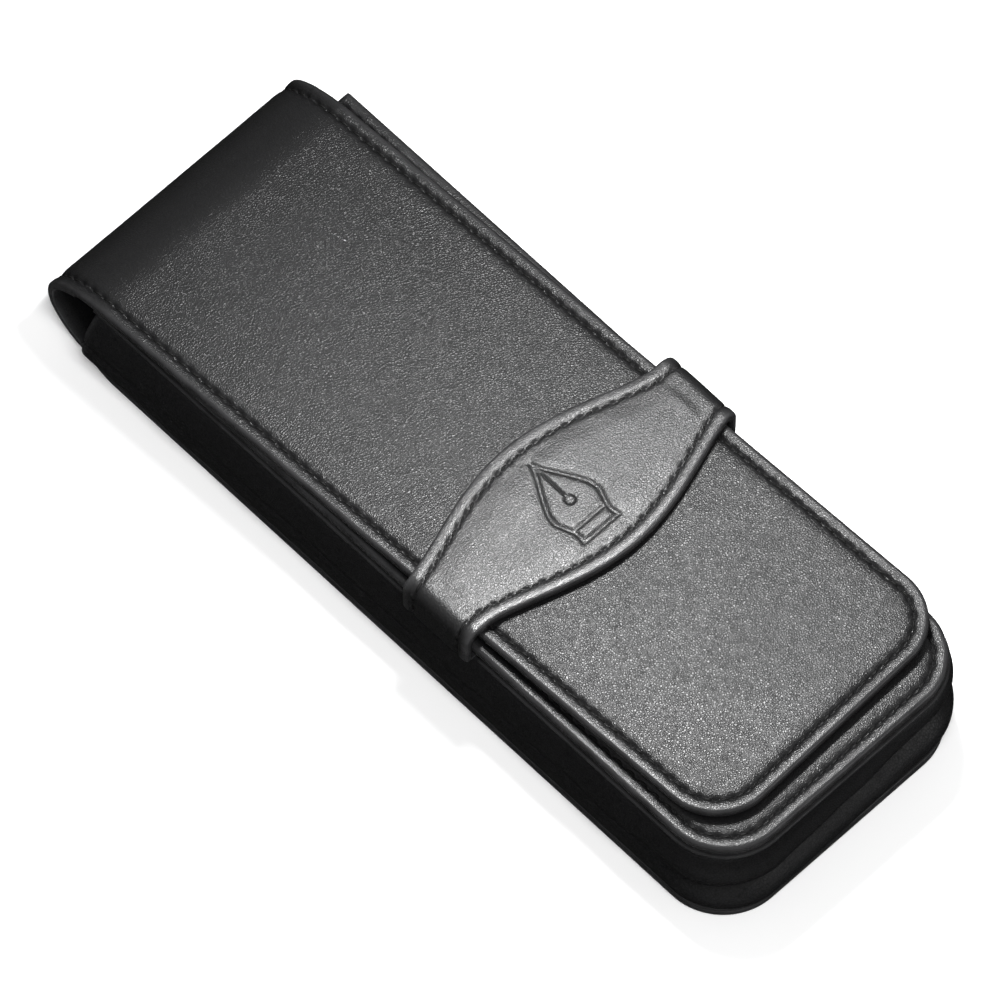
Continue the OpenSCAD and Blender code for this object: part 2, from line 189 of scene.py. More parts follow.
class Skin:
    """Collects the patches of one piece, with each point's place on the hide."""

    def __init__(self):
        self.points = []
        self.places = []
        self.rims = []
        self.faces = []
        self.total = 0

    def patch(self, points, places=None, rim=0.0, wrap_rows=False, wrap_cols=False):
        """A grid of points, rows by columns, joined with quads."""
        points = np.asarray(points, float)
        rows, cols = points.shape[:2]
        places = points if places is None else np.asarray(places, float)
        index = np.arange(rows * cols).reshape(rows, cols) + self.total
        if wrap_rows:
            index = np.vstack([index, index[:1]])
        if wrap_cols:
            index = np.hstack([index, index[:, :1]])
        quads = np.stack([index[:-1, :-1], index[:-1, 1:], index[1:, 1:], index[1:, :-1]], -1)
        self.faces.append(quads.reshape(-1, 4))
        self.points.append(points.reshape(-1, 3))
        self.places.append(places.reshape(-1, 3))
        self.rims.append(np.broadcast_to(rim, (rows, cols)).reshape(-1).astype(float))
        self.total += rows * cols

    def close(self, loop, flat=None):
        """Closes a loop of points whose second half runs back along its first."""
        half = len(loop) // 2
        flat = loop if flat is None else flat
        self.patch([loop[:half], loop[half:][::-1]], [flat[:half], flat[half:][::-1]])

    def piece(self, name, material, sharp=45.0):
        """Welds the patches into one closed mesh object."""
        mesh = bpy.data.meshes.new(name)
        points = np.vstack(self.points) * MM
        mesh.from_pydata(points.tolist(), [], np.vstack(self.faces).tolist())
        place = mesh.attributes.new("hide_place", "FLOAT_VECTOR", "POINT")
        place.data.foreach_set("vector", (np.vstack(self.places) * MM).astype(np.float32).ravel())
        rim = mesh.attributes.new("rim", "FLOAT", "POINT")
        rim.data.foreach_set("value", np.concatenate(self.rims).astype(np.float32))
        work = bmesh.new()
        work.from_mesh(mesh)
        bmesh.ops.remove_doubles(work, verts=work.verts, dist=4e-6)
        bmesh.ops.dissolve_degenerate(work, edges=work.edges, dist=1e-7)
        loose = [v for v in work.verts if not v.link_faces]
        bmesh.ops.delete(work, geom=loose, context="VERTS")
        bmesh.ops.recalc_face_normals(work, faces=work.faces)
        work.to_mesh(mesh)
        work.free()
        mesh.shade_smooth()
        mesh.set_sharp_from_angle(angle=math.radians(sharp))
        mesh.materials.append(material)
        made = bpy.data.objects.new(name, mesh)
        bpy.context.scene.collection.objects.link(made)
        return made


def dress(nodes):
    """Hides the frame nodes that a piece stands for."""
    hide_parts(*nodes)


def settle(piece, finish, *nodes):
    """The piece rides on the case."""
    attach(piece, "case")
    dress(nodes)


# ---- Outlines ---------------------------------------------------------------

class Outline:
    """Samples around a panel's three sewn sides, from one mouth corner to the other."""

    def __init__(self, x0, x1, half, radius, pitch=PITCH, start_phase=0.0, step=0.6):
        self.x0, self.x1, self.half, self.radius = x0, x1, half, radius
        lead = np.array([0, 0.06, 0.2, 0.42, 0.7, 1.0, 1.4]) / (x1 - radius - x0)
        even = np.linspace(lead[-1], 1, int((x1 - radius - x0) / step))[1:]
        self.side_t = np.concatenate([lead, even])
        self.arc_a = np.linspace(0, math.pi / 2, int(radius * 1.57 / step) + 2)[1:]
        self.end_t = np.linspace(-1, 1, int(2 * (half - radius) / step) + 2)[1:-1]
        row = self.ring(STITCH_INSET)
        self.run = run_along(row)
        length = self.run[-1]
        self.turns = round(length / pitch + 2 * start_phase) - 2 * start_phase
        self.phase = start_phase + self.run / length * self.turns
        self.middle_run = np.abs(self.run - length / 2)

    def ring(self, inset, x0=None):
        """The outline taken in by one inset."""
        x0 = self.x0 if x0 is None else x0
        core = max(self.radius, inset)
        bend = max(self.radius - inset, 0.0)
        cx, cy = self.x1 - core, self.half - core
        side = np.stack([x0 + (cx - x0) * self.side_t,
                         np.full(len(self.side_t), -(self.half - inset))], 1)
        arc = np.stack([cx + bend * np.sin(self.arc_a), -cy - bend * np.cos(self.arc_a)], 1)
        end = np.stack([np.full(len(self.end_t), self.x1 - inset), cy * self.end_t], 1)
        mirror = np.array([1, -1])
        return np.vstack([side, arc, end, arc[::-1] * mirror, side[::-1] * mirror])

    def pushed(self, insets, x0=None):
        """The outline taken in by a different inset at each sample."""
        low = self.ring(0.0, x0)
        inward = self.ring(1.0, x0) - low
        return low + inward * np.asarray(insets)[:, None]

    def holes(self):
        """1 at each needle hole along the stitch row, 0 in between."""
        return needle_holes(self.phase)

    def stitches(self):
        """Each stitch's middle and direction in plan, on the stitch row."""
        first = math.ceil(self.phase[0])
        spots = np.arange(first, math.floor(self.phase[-1])) + 0.5
        row = self.ring(STITCH_INSET)
        at = [np.interp(spots, self.phase, row[:, i]) for i in (0, 1)]
        ahead = [np.interp(spots + 0.05, self.phase, row[:, i]) for i in (0, 1)]
        middle = np.stack(at, 1)
        way = np.stack(ahead, 1) - middle
        return middle, unit(way)


RIM_INSETS = [0, 0.05, 0.16, 0.34, 0.58, 0.88, 1.25, 1.65, 1.95, 2.2, 2.4, 2.56, 2.7, 2.84, 3.0,
              3.2, 3.5, 3.9, 4.5, 5.3, 6.5, 8.2, 10.5, 13.5, 17, 21, 25.5]


def shell_levels(half):
    """Insets from the edge to the middle line of a panel."""
    return [d for d in RIM_INSETS if d < half - 1] + [half]


def sewn_depth(inset, hole, rim_r):
    """Depth of the outer face near a sewn edge: rounded rim, groove and needle holes."""
    groove = bell(inset, STITCH_INSET, 0.4)
    valley = bell(inset, STITCH_INSET + 0.2, 1.2)
    pit = bell(inset, STITCH_INSET, 0.5) * hole
    return (edge_drop(inset, rim_r) + GROOVE_DEPTH * groove + VALLEY_DEPTH * valley
            + HOLE_DEPTH * pit)


def panel_shell(outline, lay, outer, inner, capped=True):
    """Outer and inner faces of a panel, joined round its edge and at its mouth end."""
    outs, ins, out_places, in_places, rims = [], [], [], [], []
    for inset in shell_levels(outline.half):
        x, y = outline.ring(inset).T
        top, under = outer(inset, x, y), inner(inset, x, y)
        outs.append(lay(x, y, top))
        ins.append(lay(x, y, under))
        out_places.append(points_at(x, y, top))
        in_places.append(points_at(x, y, under))
        rims.append(np.full(len(x), float(rim_mask(inset))))
    outs, ins, out_places, in_places = map(np.array, (outs, ins, out_places, in_places))
    skin = Skin()
    skin.patch(np.vstack([outs[::-1], ins]), np.vstack([out_places[::-1], in_places]),
               np.vstack([rims[::-1], rims]))
    if capped:
        for col in (0, -1):
            skin.patch([outs[:, col], ins[:, col]], [out_places[:, col], in_places[:, col]])
    return skin


# ---- The run of leather: back, fold and flap --------------------------------

class CoverPath:
    """The outer face of the back, the fold over the mouth and the flap, as one smooth curve.
    s runs along it: below 0 on the back, and past the last hinge line on the flap."""

    def __init__(self, hinges):
        self.hinges = hinges
        self.lengths = np.linalg.norm(np.diff(hinges, axis=0), axis=1)
        self.hinge_s = np.concatenate([[0], np.cumsum(self.lengths)])
        middles = (hinges[1:] + hinges[:-1]) / 2
        first = hinges[0] + [self.lengths[0] / 2, 0]
        last = hinges[-1] + [self.lengths[-1] / 2, 0]
        self.middles = np.vstack([first, middles, last])
        mid_s = (self.hinge_s[1:] + self.hinge_s[:-1]) / 2
        self.middle_s = np.concatenate([[-self.lengths[0] / 2], mid_s,
                                        [self.hinge_s[-1] + self.lengths[-1] / 2]])

    def at(self, s):
        """Points and directions of the curve at s."""
        s = np.asarray(s, float)
        point = np.stack([self.hinges[0][0] - s, np.zeros_like(s)], -1)
        way = np.broadcast_to([-1.0, 0.0], point.shape).copy()
        past = s >= self.middle_s[-1]
        point[past] = np.stack([self.hinges[-1][0] + s[past] - self.hinge_s[-1],
                                np.full(past.sum(), self.hinges[-1][1])], -1)
        way[past] = [1.0, 0.0]
        for k, hinge in enumerate(self.hinges):
            here = (s >= self.middle_s[k]) & (s < self.middle_s[k + 1])
            t = ((s[here] - self.middle_s[k]) / (self.middle_s[k + 1] - self.middle_s[k]))[:, None]
            a, b = self.middles[k], self.middles[k + 1]
            point[here] = (1 - t) ** 2 * a + 2 * t * (1 - t) * hinge + t ** 2 * b
            way[here] = (1 - t) * (hinge - a) + t * (b - hinge)
        return point, unit(way)

    def side_shift(self, s):
        """How far the cover has moved aside, for the flap lies a little askew."""
        start, stop = self.middle_s[0], self.middle_s[-1]
        flap_x = self.hinges[-1][0] + np.asarray(s) - self.hinge_s[-1]
        askew = (flap_x - SKEW_X) * math.tan(FLAP_SKEW)
        end_shift = (self.middles[-1][0] - SKEW_X) * math.tan(FLAP_SKEW)
        t = np.clip((np.asarray(s) - start) / (stop - start), 0, 1)
        slope = math.tan(FLAP_SKEW) * (stop - start)
        between = end_shift * (3 * t ** 2 - 2 * t ** 3) + slope * (t ** 3 - t ** 2)
        return np.where(np.asarray(s) >= stop, askew, between)

    def place(self, s, y, depth):
        """A point of the case, from its place on the hide and its depth from the outer face."""
        s, y, depth = np.broadcast_arrays(np.asarray(s, float), y, depth)
        flat_s = s.reshape(-1)
        point, way = self.at(flat_s)
        inward = np.stack([way[:, 1], -way[:, 0]], 1)
        spot = point + inward * depth.reshape(-1)[:, None]
        turned = ease(self.middle_s[-1], self.middle_s[-1] + 60, flat_s)
        x = spot[:, 0] - y.reshape(-1) * math.sin(FLAP_SKEW) * turned
        across = y.reshape(-1) + self.side_shift(flat_s)
        return np.stack([x, across, spot[:, 1]], 1).reshape(s.shape + (3,))


COVER = CoverPath(FOLD_HINGES)
STRIP_ROWS = 19
BACK_EDGE_T = PANEL_T - LINING_T
FOLD_EDGE_T = LEATHER_T
FLAP_EDGE_T = FLAP_TOP - flap_lining_high[2]


def edge_thickness(s):
    """Thickness of the leather edge: thick on the boarded back and flap, thin in the fold."""
    back = 1 - ease(COVER.middle_s[0], COVER.middle_s[1], s)
    flap = ease(COVER.middle_s[5], COVER.middle_s[6], s)
    return FOLD_EDGE_T + (BACK_EDGE_T - FOLD_EDGE_T) * back + (FLAP_EDGE_T - FOLD_EDGE_T) * flap


def cover_half(s):
    """Half of the cover's width: the back is as wide as the panel, the flap narrower."""
    back = 1 - ease(COVER.middle_s[0] - 4, COVER.middle_s[1], s)
    return FLAP_HALF + (PANEL_HALF - FLAP_HALF) * back


def back_outline(margin=0.0, step=0.6):
    """The back's outline, or its lining's; x runs from the middle of the fold's first strip."""
    start = -COVER.middle_s[1]
    return Outline(start, BOTTOM_X - FOLD_HINGES[0][0] - margin, PANEL_HALF - margin,
                   CORNER_R - margin, start_phase=(start / PITCH) % 1.0, step=step)


def flap_outline(margin=0.0, step=0.6):
    """The flap's outline, or its lining's; its x is the cover's own s."""
    start = COVER.middle_s[5]
    end = COVER.hinge_s[-1] + TIP_X - FOLD_HINGES[-1][0]
    return Outline(start, end - margin, FLAP_HALF - margin, FLAP_R - margin,
                   start_phase=(start / PITCH) % 1.0, step=step)


def lay_back(x, y, depth):
    """Puts a place on the back where it belongs."""
    return COVER.place(-x, y * cover_half(-x) / PANEL_HALF, depth)


def cover_unevenness(s, y, waviness):
    """Slow ups and downs of the hide, as a depth that is never below zero."""
    return waviness * (1 + 0.5 * waves(s, y, 46, 11) + 0.3 * waves(s, y, 19, 12))


def bend_over_hinge(piece, k, finish, *nodes):
    """Bakes the piece's placement into its mesh and hides its frame nodes; the ends of bend k are
    worked out but not used.
    """
    start, end = ((x, 0, z) for x, z in COVER.middles[k:k + 2] * MM)
    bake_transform(piece)
    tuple(start)
    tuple(end)
    dress(nodes)


def fold_strip(k, outer, inner, levels):
    """One bend of the fold: a loop round its section, repeated along the curve."""
    insets = np.array([level for level in levels if level < FLAP_HALF - 1] + [FLAP_HALF])
    d = np.concatenate([insets, insets[::-1][1:]])
    points, places = [], []
    for s in np.linspace(COVER.middle_s[k], COVER.middle_s[k + 1], STRIP_ROWS):
        half = float(cover_half(s))
        near = half - insets * half / FLAP_HALF
        y = np.concatenate([-near, near[::-1][1:]])
        depths = np.concatenate([outer(d, s, y), inner(d, s, y)[::-1]])
        ys = np.concatenate([y, y[::-1]])
        points.append(COVER.place(s, ys, depths))
        places.append(points_at(s, ys, depths))
    skin = Skin()
    skin.patch(points, places, rim_mask(np.concatenate([d, d[::-1]])), wrap_cols=True)
    for row in (0, -1):
        skin.close(points[row], places[row])
    return skin


# ---- Stitches ---------------------------------------------------------------

def threads(skin, middles, ways, ups, settings):
    """Short plump stitches whose ends dive into the needle holes."""
    length, width = settings.stitch_length, settings.thread_width
    a = np.array([-1, -0.93, -0.78, -0.5, -0.18, 0.18, 0.5, 0.78, 0.93, 1])
    along = a * length / 2
    turn = np.linspace(0, 2 * math.pi, 9)[:-1]
    sides = np.cross(ups, ways)
    lean = settings.slant + np.random.default_rng(31).normal(0, 0.03, len(middles))
    runs = ways * np.cos(lean)[:, None] + sides * np.sin(lean)[:, None]
    flats = np.cross(ups, runs)
    thick = width / 2 * np.sqrt(np.maximum(1 - np.abs(a) ** 3, 0)) * (1 + 0.06 * np.cos(9 * a))
    spine = (middles[:, None] + runs[:, None] * along[None, :, None]
             - ups[:, None] * (settings.dive * np.abs(a) ** 3)[None, :, None])
    ring = (flats[:, None, None] * np.cos(turn)[None, None, :, None]
            + ups[:, None, None] * 0.85 * np.sin(turn)[None, None, :, None])
    tubes = spine[:, :, None] + ring * thick[None, :, None, None]
    for n, tube in enumerate(tubes):
        skin.patch(tube, points_at(along[:, None] + 5.0 * n, turn[None, :] * width / 2, 0.0),
                   wrap_cols=True)


def lay_frames(lay, x, y, way, depth):
    """Middles, directions and up directions of stitches on a laid face."""
    middle = lay(x, y, depth)
    ahead = lay(x + way[:, 0] * 0.1, y + way[:, 1] * 0.1, depth)
    return middle, unit(ahead - middle), unit(lay(x, y, depth - 0.1) - middle)


def outline_threads(outline, lay, settings):
    """The stitches round an outline, laid on its face."""
    spots, way = outline.stitches()
    skin = Skin()
    threads(skin, *lay_frames(lay, *spots.T, way, THREAD_DEPTH), settings)
    return skin


# ---- Settings ---------------------------------------------------------------

def colour_of(name, text, default):
    """A setting for a colour."""
    return FloatVectorProperty(name=name, description=text, subtype="COLOR", size=3,
                               default=default, min=0, max=1)


def roughness_of(text, default):
    """A setting for a roughness."""
    return FloatProperty(name="Roughness", description=text, default=default, min=0.1, max=1,
                         subtype="FACTOR")


def length_of(name, text, default, low, high):
    """A setting for a length in millimetres."""
    return FloatProperty(name=name, description=text + ", in millimetres", default=default,
                         min=low, max=high)


def power_of(name, text, default):
    """A setting for a lamp's power."""
    return FloatProperty(name=name, description=text, default=default, min=0, unit="POWER")


def level_of(name, text, default):
    """A setting for a brightness."""
    return FloatProperty(name=name, description=text, default=default, min=0)


class HideSettings(bpy.types.PropertyGroup):
    """Leather of the cover, front, gusset and strap."""
    colour: colour_of("Colour", "Colour of the dyed hide", (0.006, 0.006, 0.0064))
    # Partly a painted highlight along the edges and partly the lighter colour of burnished, rubbed
    # edges.
    burnish_and_highlight_colour: colour_of("Edge colour", "Colour where edges are burnished and worn",
                           (0.03, 0.03, 0.031))
    roughness: roughness_of("Roughness of the smooth hide between the grain", 0.31)
    grain_size: length_of("Grain size", "Width of one pebble of the grain", 0.44, 0.2, 2)
    grain_depth: length_of("Grain depth", "Depth of the creases between pebbles", 0.037, 0, 0.3)
    waviness: length_of("Waviness", "Depth of the slow ups and downs", 0.09, 0, 0.5)
    edge_radius: length_of("Edge radius", "Radius of a turned leather edge", 0.85, 0.3, 1.5)


class GussetSettings(bpy.types.PropertyGroup):
    """The folded side wall between the back and the front."""
    bulge: length_of("Bulge", "How far the wall stands out past the panels", 1.6, 0, 4)
    mouth_bulge: length_of("Bulge at the mouth", "Extra bulge near the mouth", 1.1, 0, 3)
    crease: length_of("Crease", "Depth of the lengthwise crease near the mouth", 0.8, 0, 2)
    pinch: length_of("Pinch", "Depth of the folds at the closed end", 2.4, 0, 4)
    roughness: roughness_of("Roughness of the matt gusset leather", 0.4)


class StrapSettings(bpy.types.PropertyGroup):
    """The strap across the front."""
    swell: length_of("Swell", "Width that the strap gains at its middle", 13.5, 4, 24)
    rim_height: length_of("Rim height", "How far the rim stands above the groove", 0.22, 0, 0.6)
    motif_depth: length_of("Motif depth", "Depth of the pressed nib", 0.42, 0, 0.8)
    motif_length: length_of("Motif length", "Length of the pressed nib", 18.0, 8, 22)


class StitchSettings(bpy.types.PropertyGroup):
    """The waxed thread."""
    stitch_length: length_of("Stitch length", "Length of one stitch", 2.2, 1.5, 3)
    thread_width: length_of("Thread width", "Width of the thread", 0.54, 0.3, 1)
    slant: FloatProperty(
        name="Slant", description="Angle of a stitch across its row",
        default=math.radians(9), min=0, max=0.6, subtype="ANGLE")
    dive: length_of("Dive", "How deep a stitch's ends go", 0.55, 0, 1)
    colour: colour_of("Thread colour", "Colour of the thread", (0.003, 0.003, 0.003))


class BoardSettings(bpy.types.PropertyGroup):
    """The stiffening boards and the strap's padding."""
    board_colour: colour_of("Board colour", "Colour of the stiffening boards", (0.35, 0.28, 0.2))


class StageSettings(bpy.types.PropertyGroup):
    """Floor, lights and camera."""
    floor_colour: colour_of("Floor colour", "Colour of the plain floor", (0.92, 0.92, 0.92))
    key_power: power_of("Key light", "Power of the soft light behind the flap", 0.95)
    rim_power: power_of("Rim light", "Power of the low light past the fold", 0.05)
    edge_power: power_of("Edge light", "Power of the low light past the closed end", 0.22)
    fill_level: level_of("Fill light", "Strength of the broad light from the front", 2.75)
    world_level: level_of("Surroundings", "Brightness of the surroundings", 0.3)


# ---- Shaders ----------------------------------------------------------------

def join(tree, value, socket):
    """Links a socket to another, or gives it a number or a vector."""
    if isinstance(value, bpy.types.NodeSocket):
        tree.links.new(value, socket)
    else:
        socket.default_value = value


def add_node(tree, kind, **inputs):
    """A node whose inputs are sockets or values; other keys set the node's own settings."""
    made = tree.nodes.new(kind)
    for key, value in inputs.items():
        socket = made.inputs.get(key.replace("_", " "))
        if socket is None:
            setattr(made, key, value)
        else:
            join(tree, value, socket)
    return made


def math_node(tree, operation, *values, clamp=False):
    """The result of a maths node whose inputs are sockets or numbers."""
    made = tree.nodes.new("ShaderNodeMath")
    made.operation, made.use_clamp = operation, clamp
    for value, socket in zip(values, made.inputs):
        join(tree, value, socket)
    return made.outputs[0]


def vector_node(tree, operation, *values):
    """A vector maths node whose inputs are sockets or vectors."""
    made = tree.nodes.new("ShaderNodeVectorMath")
    made.operation = operation
    for value, socket in zip(values, made.inputs):
        join(tree, value, socket)
    return made


def remap(tree, value, low, high, to_low=0.0, to_high=1.0):
    """A clamped, smooth change of range."""
    made = add_node(tree, "ShaderNodeMapRange", interpolation_type="SMOOTHSTEP", Value=value,
                    From_Min=low, From_Max=high, To_Min=to_low, To_Max=to_high)
    return made.outputs["Result"]


def new_group(name, inputs, outputs):
    """An empty shader group with named sockets, and its two ends."""
    group = bpy.data.node_groups.new(name, "ShaderNodeTree")
    for label, kind, default in inputs:
        socket = group.interface.new_socket(label, in_out="INPUT", socket_type=kind)
        socket.default_value = default
    for label, kind in outputs:
        group.interface.new_socket(label, in_out="OUTPUT", socket_type=kind)
    return group, group.nodes.new("NodeGroupInput"), group.nodes.new("NodeGroupOutput")


FLOAT, VECTOR, COLOUR = "NodeSocketFloat", "NodeSocketVector", "NodeSocketColor"


def noise(tree, place, scale, detail=3.0, roughness=0.5, distortion=0.0):
    """A noise texture's value at a place."""
    made = add_node(tree, "ShaderNodeTexNoise", Vector=place, Scale=scale, Detail=detail,
                    Roughness=roughness, Distortion=distortion)
    return made.outputs["Fac"]


def raise_surface(tree, shader, height, depth, strength=1.0):
    """Bumps the shader's normal by a height, whose full depth is in millimetres."""
    bump = add_node(tree, "ShaderNodeBump", Strength=strength, Distance=depth * MM, Height=height)
    join(tree, bump.outputs["Normal"], shader.inputs["Normal"])


def build_grain():
    """Pebbled grain: rounded cells with creases between them, of uneven size."""
    group, start, end = new_group(
        "Hide grain",
        [("Place", VECTOR, (0, 0, 0)), ("Pebbles per metre", FLOAT, 2000.0),
         ("Unevenness", FLOAT, 0.5)],
        [("Height", FLOAT), ("Creases", FLOAT)])
    place = start.outputs["Place"]
    scale = start.outputs["Pebbles per metre"]
    bend = add_node(group, "ShaderNodeTexNoise", Detail=2.0, Vector=place,
                    Scale=math_node(group, "MULTIPLY", scale, 0.6))
    pull = vector_node(group, "SCALE", bend.outputs["Color"])
    join(group, math_node(group, "DIVIDE", 0.9, scale), pull.inputs["Scale"])
    moved = vector_node(group, "ADD", place, pull.outputs[0]).outputs[0]
    cells = add_node(group, "ShaderNodeTexVoronoi", feature="DISTANCE_TO_EDGE", Vector=moved,
                     Scale=scale)
    domes = remap(group, cells.outputs["Distance"], 0.0, 0.32)
    small = noise(group, moved, math_node(group, "MULTIPLY", scale, 2.1), 2.0)
    broad = noise(group, place, math_node(group, "MULTIPLY", scale, 0.16), 3.0)
    patch = remap(group, broad, 0.3, 0.7, 0.75, 1.0)
    uneven = math_node(group, "MULTIPLY", small, start.outputs["Unevenness"])
    pebbles = math_node(group, "MULTIPLY", domes, patch)
    join(group, math_node(group, "ADD", pebbles, uneven), end.inputs["Height"])
    join(group, remap(group, cells.outputs["Distance"], 0.0, 0.14, 1.0, 0.0),
         end.inputs["Creases"])
    return group


def build_wrinkles():
    """Fine drawn wrinkles, stretched along one direction of the hide."""
    group, start, end = new_group(
        "Hide wrinkles",
        [("Place", VECTOR, (0, 0, 0)), ("Along", VECTOR, (1, 1, 1)),
         ("Lines per metre", FLOAT, 500.0)],
        [("Height", FLOAT), ("Lines", FLOAT)])
    drawn = vector_node(group, "MULTIPLY", start.outputs["Place"], start.outputs["Along"])
    value = noise(group, drawn.outputs[0], start.outputs["Lines per metre"], 4.0, 0.6, 0.4)
    ridge = math_node(group, "ABSOLUTE", math_node(group, "SUBTRACT", value, 0.5))
    join(group, remap(group, ridge, 0.0, 0.12), end.inputs["Height"])
    join(group, remap(group, ridge, 0.0, 0.03, 1.0, 0.0), end.inputs["Lines"])
    return group


def build_edge_marks_and_highlight():
    """Burnishing along edges, with a painted highlight that lightens them, from the rim mask broken
    up by noise.
    """
    group, start, end = new_group(
        "Edge wear",
        [("Place", VECTOR, (0, 0, 0)), ("Rim", FLOAT, 0.0), ("Amount", FLOAT, 0.6)],
        [("Rubbing and highlight", FLOAT)])
    edge_rub_and_highlight = noise(group, start.outputs["Place"], 180.0, 4.0, 0.6)
    broken = remap(group, edge_rub_and_highlight, 0.3, 0.65, 0.4, 1.0)
    mask = math_node(group, "MULTIPLY", start.outputs["Rim"], broken)
    join(group, math_node(group, "MULTIPLY", mask, start.outputs["Amount"], clamp=True),
         end.inputs["Rubbing and highlight"])
    return group


def build_handling():
    """Traces of handling: cloudy polish, a few light scratches and specks of dust."""
    group, start, end = new_group(
        "Handling",
        [("Place", VECTOR, (0, 0, 0)), ("Scratches", FLOAT, 0.3)],
        [("Polish", FLOAT), ("Scratch", FLOAT), ("Dust", FLOAT)])
    place = start.outputs["Place"]
    join(group, remap(group, noise(group, place, 32.0, 4.0, 0.6, 0.3), 0.35, 0.7),
         end.inputs["Polish"])
    turned = add_node(group, "ShaderNodeMapping", vector_type="POINT", Vector=place,
                      Rotation=(0, 0, 0.62), Scale=(26.0, 420.0, 80.0))
    lines = noise(group, turned.outputs["Vector"], 1.0, 1.0)
    thin = math_node(group, "ABSOLUTE", math_node(group, "SUBTRACT", lines, 0.5))
    where = remap(group, noise(group, place, 55.0, 2.0), 0.70, 0.78)
    scratch = math_node(group, "MULTIPLY", remap(group, thin, 0.0, 0.006, 1.0, 0.0), where)
    join(group, math_node(group, "MULTIPLY", scratch, start.outputs["Scratches"]),
         end.inputs["Scratch"])
    specks = add_node(group, "ShaderNodeTexVoronoi", Scale=420.0, Vector=place)
    join(group, remap(group, specks.outputs["Distance"], 0.03, 0.07, 1.0, 0.0),
         end.inputs["Dust"])
    return group


GROUP_BUILDERS = {"Hide grain": build_grain, "Hide wrinkles": build_wrinkles,
                  "Edge wear": build_edge_marks_and_highlight, "Handling": build_handling}


def use_group(tree, name, **inputs):
    """Places a shared effect in a material, building it the first time."""
    made = tree.nodes.new("ShaderNodeGroup")
    made.node_tree = bpy.data.node_groups.get(name) or GROUP_BUILDERS[name]()
    for key, value in inputs.items():
        join(tree, value, made.inputs[key.replace("_", " ")])
    return made


def start_material(name):
    """A material with its shader, and the hide's place on the surface."""
    made = bpy.data.materials.new(name)
    made.use_nodes = True
    tree = made.node_tree
    shader = tree.nodes["Principled BSDF"]
    place = add_node(tree, "ShaderNodeAttribute", attribute_name="hide_place")
    return made, tree, shader, place.outputs["Vector"]


def mix_colours(tree, mask, first, second):
    """A colour between two colours, by a mask."""
    made = tree.nodes.new("ShaderNodeMix")
    made.data_type = "RGBA"
    join(tree, mask, made.inputs["Factor"])
    for socket, value in ((made.inputs[6], first), (made.inputs[7], second)):
        join(tree, value if isinstance(value, bpy.types.NodeSocket) else (*value, 1.0), socket)
    return made.outputs[2]


def leather(name, settings, roughness=None, specular=0.5, grain=1.0, wrinkles=0.0,
            along=(1, 1, 1), rubbing_and_highlight=0.6, scratches=0.3, lines=500.0, nick=None):
    """Dyed and pebbled leather with burnished edges that also carry a painted highlight, painted
    shade in the grain's creases and light traces of use.
    """
    found = bpy.data.materials.get(name)
    if found:
        return found
    made, tree, shader, place = start_material(name)
    pebbles = use_group(tree, "Hide grain", Place=place,
                        Pebbles_per_metre=1 / (settings.grain_size * MM), Unevenness=0.5)
    drawn = use_group(tree, "Hide wrinkles", Place=place, Along=along, Lines_per_metre=lines)
    rim = add_node(tree, "ShaderNodeAttribute", attribute_name="rim").outputs["Fac"]
    edge_rub_and_highlight = use_group(tree, "Edge wear", Place=place, Rim=rim, Amount=rubbing_and_highlight)
    use = use_group(tree, "Handling", Place=place, Scratches=scratches)
    base = roughness if roughness is not None else settings.roughness
    for mask, step in ((use.outputs["Polish"], 0.04), (pebbles.outputs["Creases"], 0.22),
                       (edge_rub_and_highlight.outputs["Rubbing and highlight"], -0.05)):
        base = math_node(tree, "ADD", base, math_node(tree, "MULTIPLY", mask, step))
    join(tree, base, shader.inputs["Roughness"])
    # Painted shade: the grain's creases are darkened to a fifth of the hide colour.
    dark = tuple(0.2 * c for c in settings.colour)
    colour = mix_colours(tree, pebbles.outputs["Creases"], settings.colour, dark)
    # Painted highlight along the edges, together with real burnishing: the rim mask lightens the
    # colour there.
    colour = mix_colours(tree, edge_rub_and_highlight.outputs["Rubbing and highlight"], colour, settings.burnish_and_highlight_colour)
    colour = mix_colours(tree, use.outputs["Scratch"], colour, (0.4, 0.4, 0.4))
    if nick:
        colour = mix_colours(tree, one_scratch(tree, place, *nick), colour, (0.5, 0.5, 0.5))
    join(tree, colour, shader.inputs["Base Color"])
    smooth_rim = math_node(tree, "MULTIPLY", rim, -0.7 * grain)
    grain_here = math_node(tree, "ADD", smooth_rim, grain)
    height = math_node(tree, "MULTIPLY", pebbles.outputs["Height"], grain_here)
    folds = math_node(tree, "MULTIPLY", drawn.outputs["Height"], wrinkles)
    raise_surface(tree, shader, math_node(tree, "ADD", height, folds), settings.grain_depth)
    shader.inputs["Specular IOR Level"].default_value = specular
    return made


def thread_material(settings):
    """Waxed black thread with a visible twist."""
    made, tree, shader, place = start_material("Waxed thread")
    twist = add_node(tree, "ShaderNodeTexWave", Scale=700.0, Distortion=1.0, Vector=place,
                     bands_direction="DIAGONAL").outputs["Fac"]
    dark = tuple(0.5 * c for c in settings.colour)
    join(tree, mix_colours(tree, twist, dark, settings.colour), shader.inputs["Base Color"])
    fuzz = math_node(tree, "MULTIPLY", noise(tree, place, 9000.0, 2.0), 0.25)
    join(tree, math_node(tree, "ADD", 0.5, fuzz), shader.inputs["Roughness"])
    shader.inputs["Specular IOR Level"].default_value = 0.25
    raise_surface(tree, shader, twist, 0.04, 0.8)
    return made


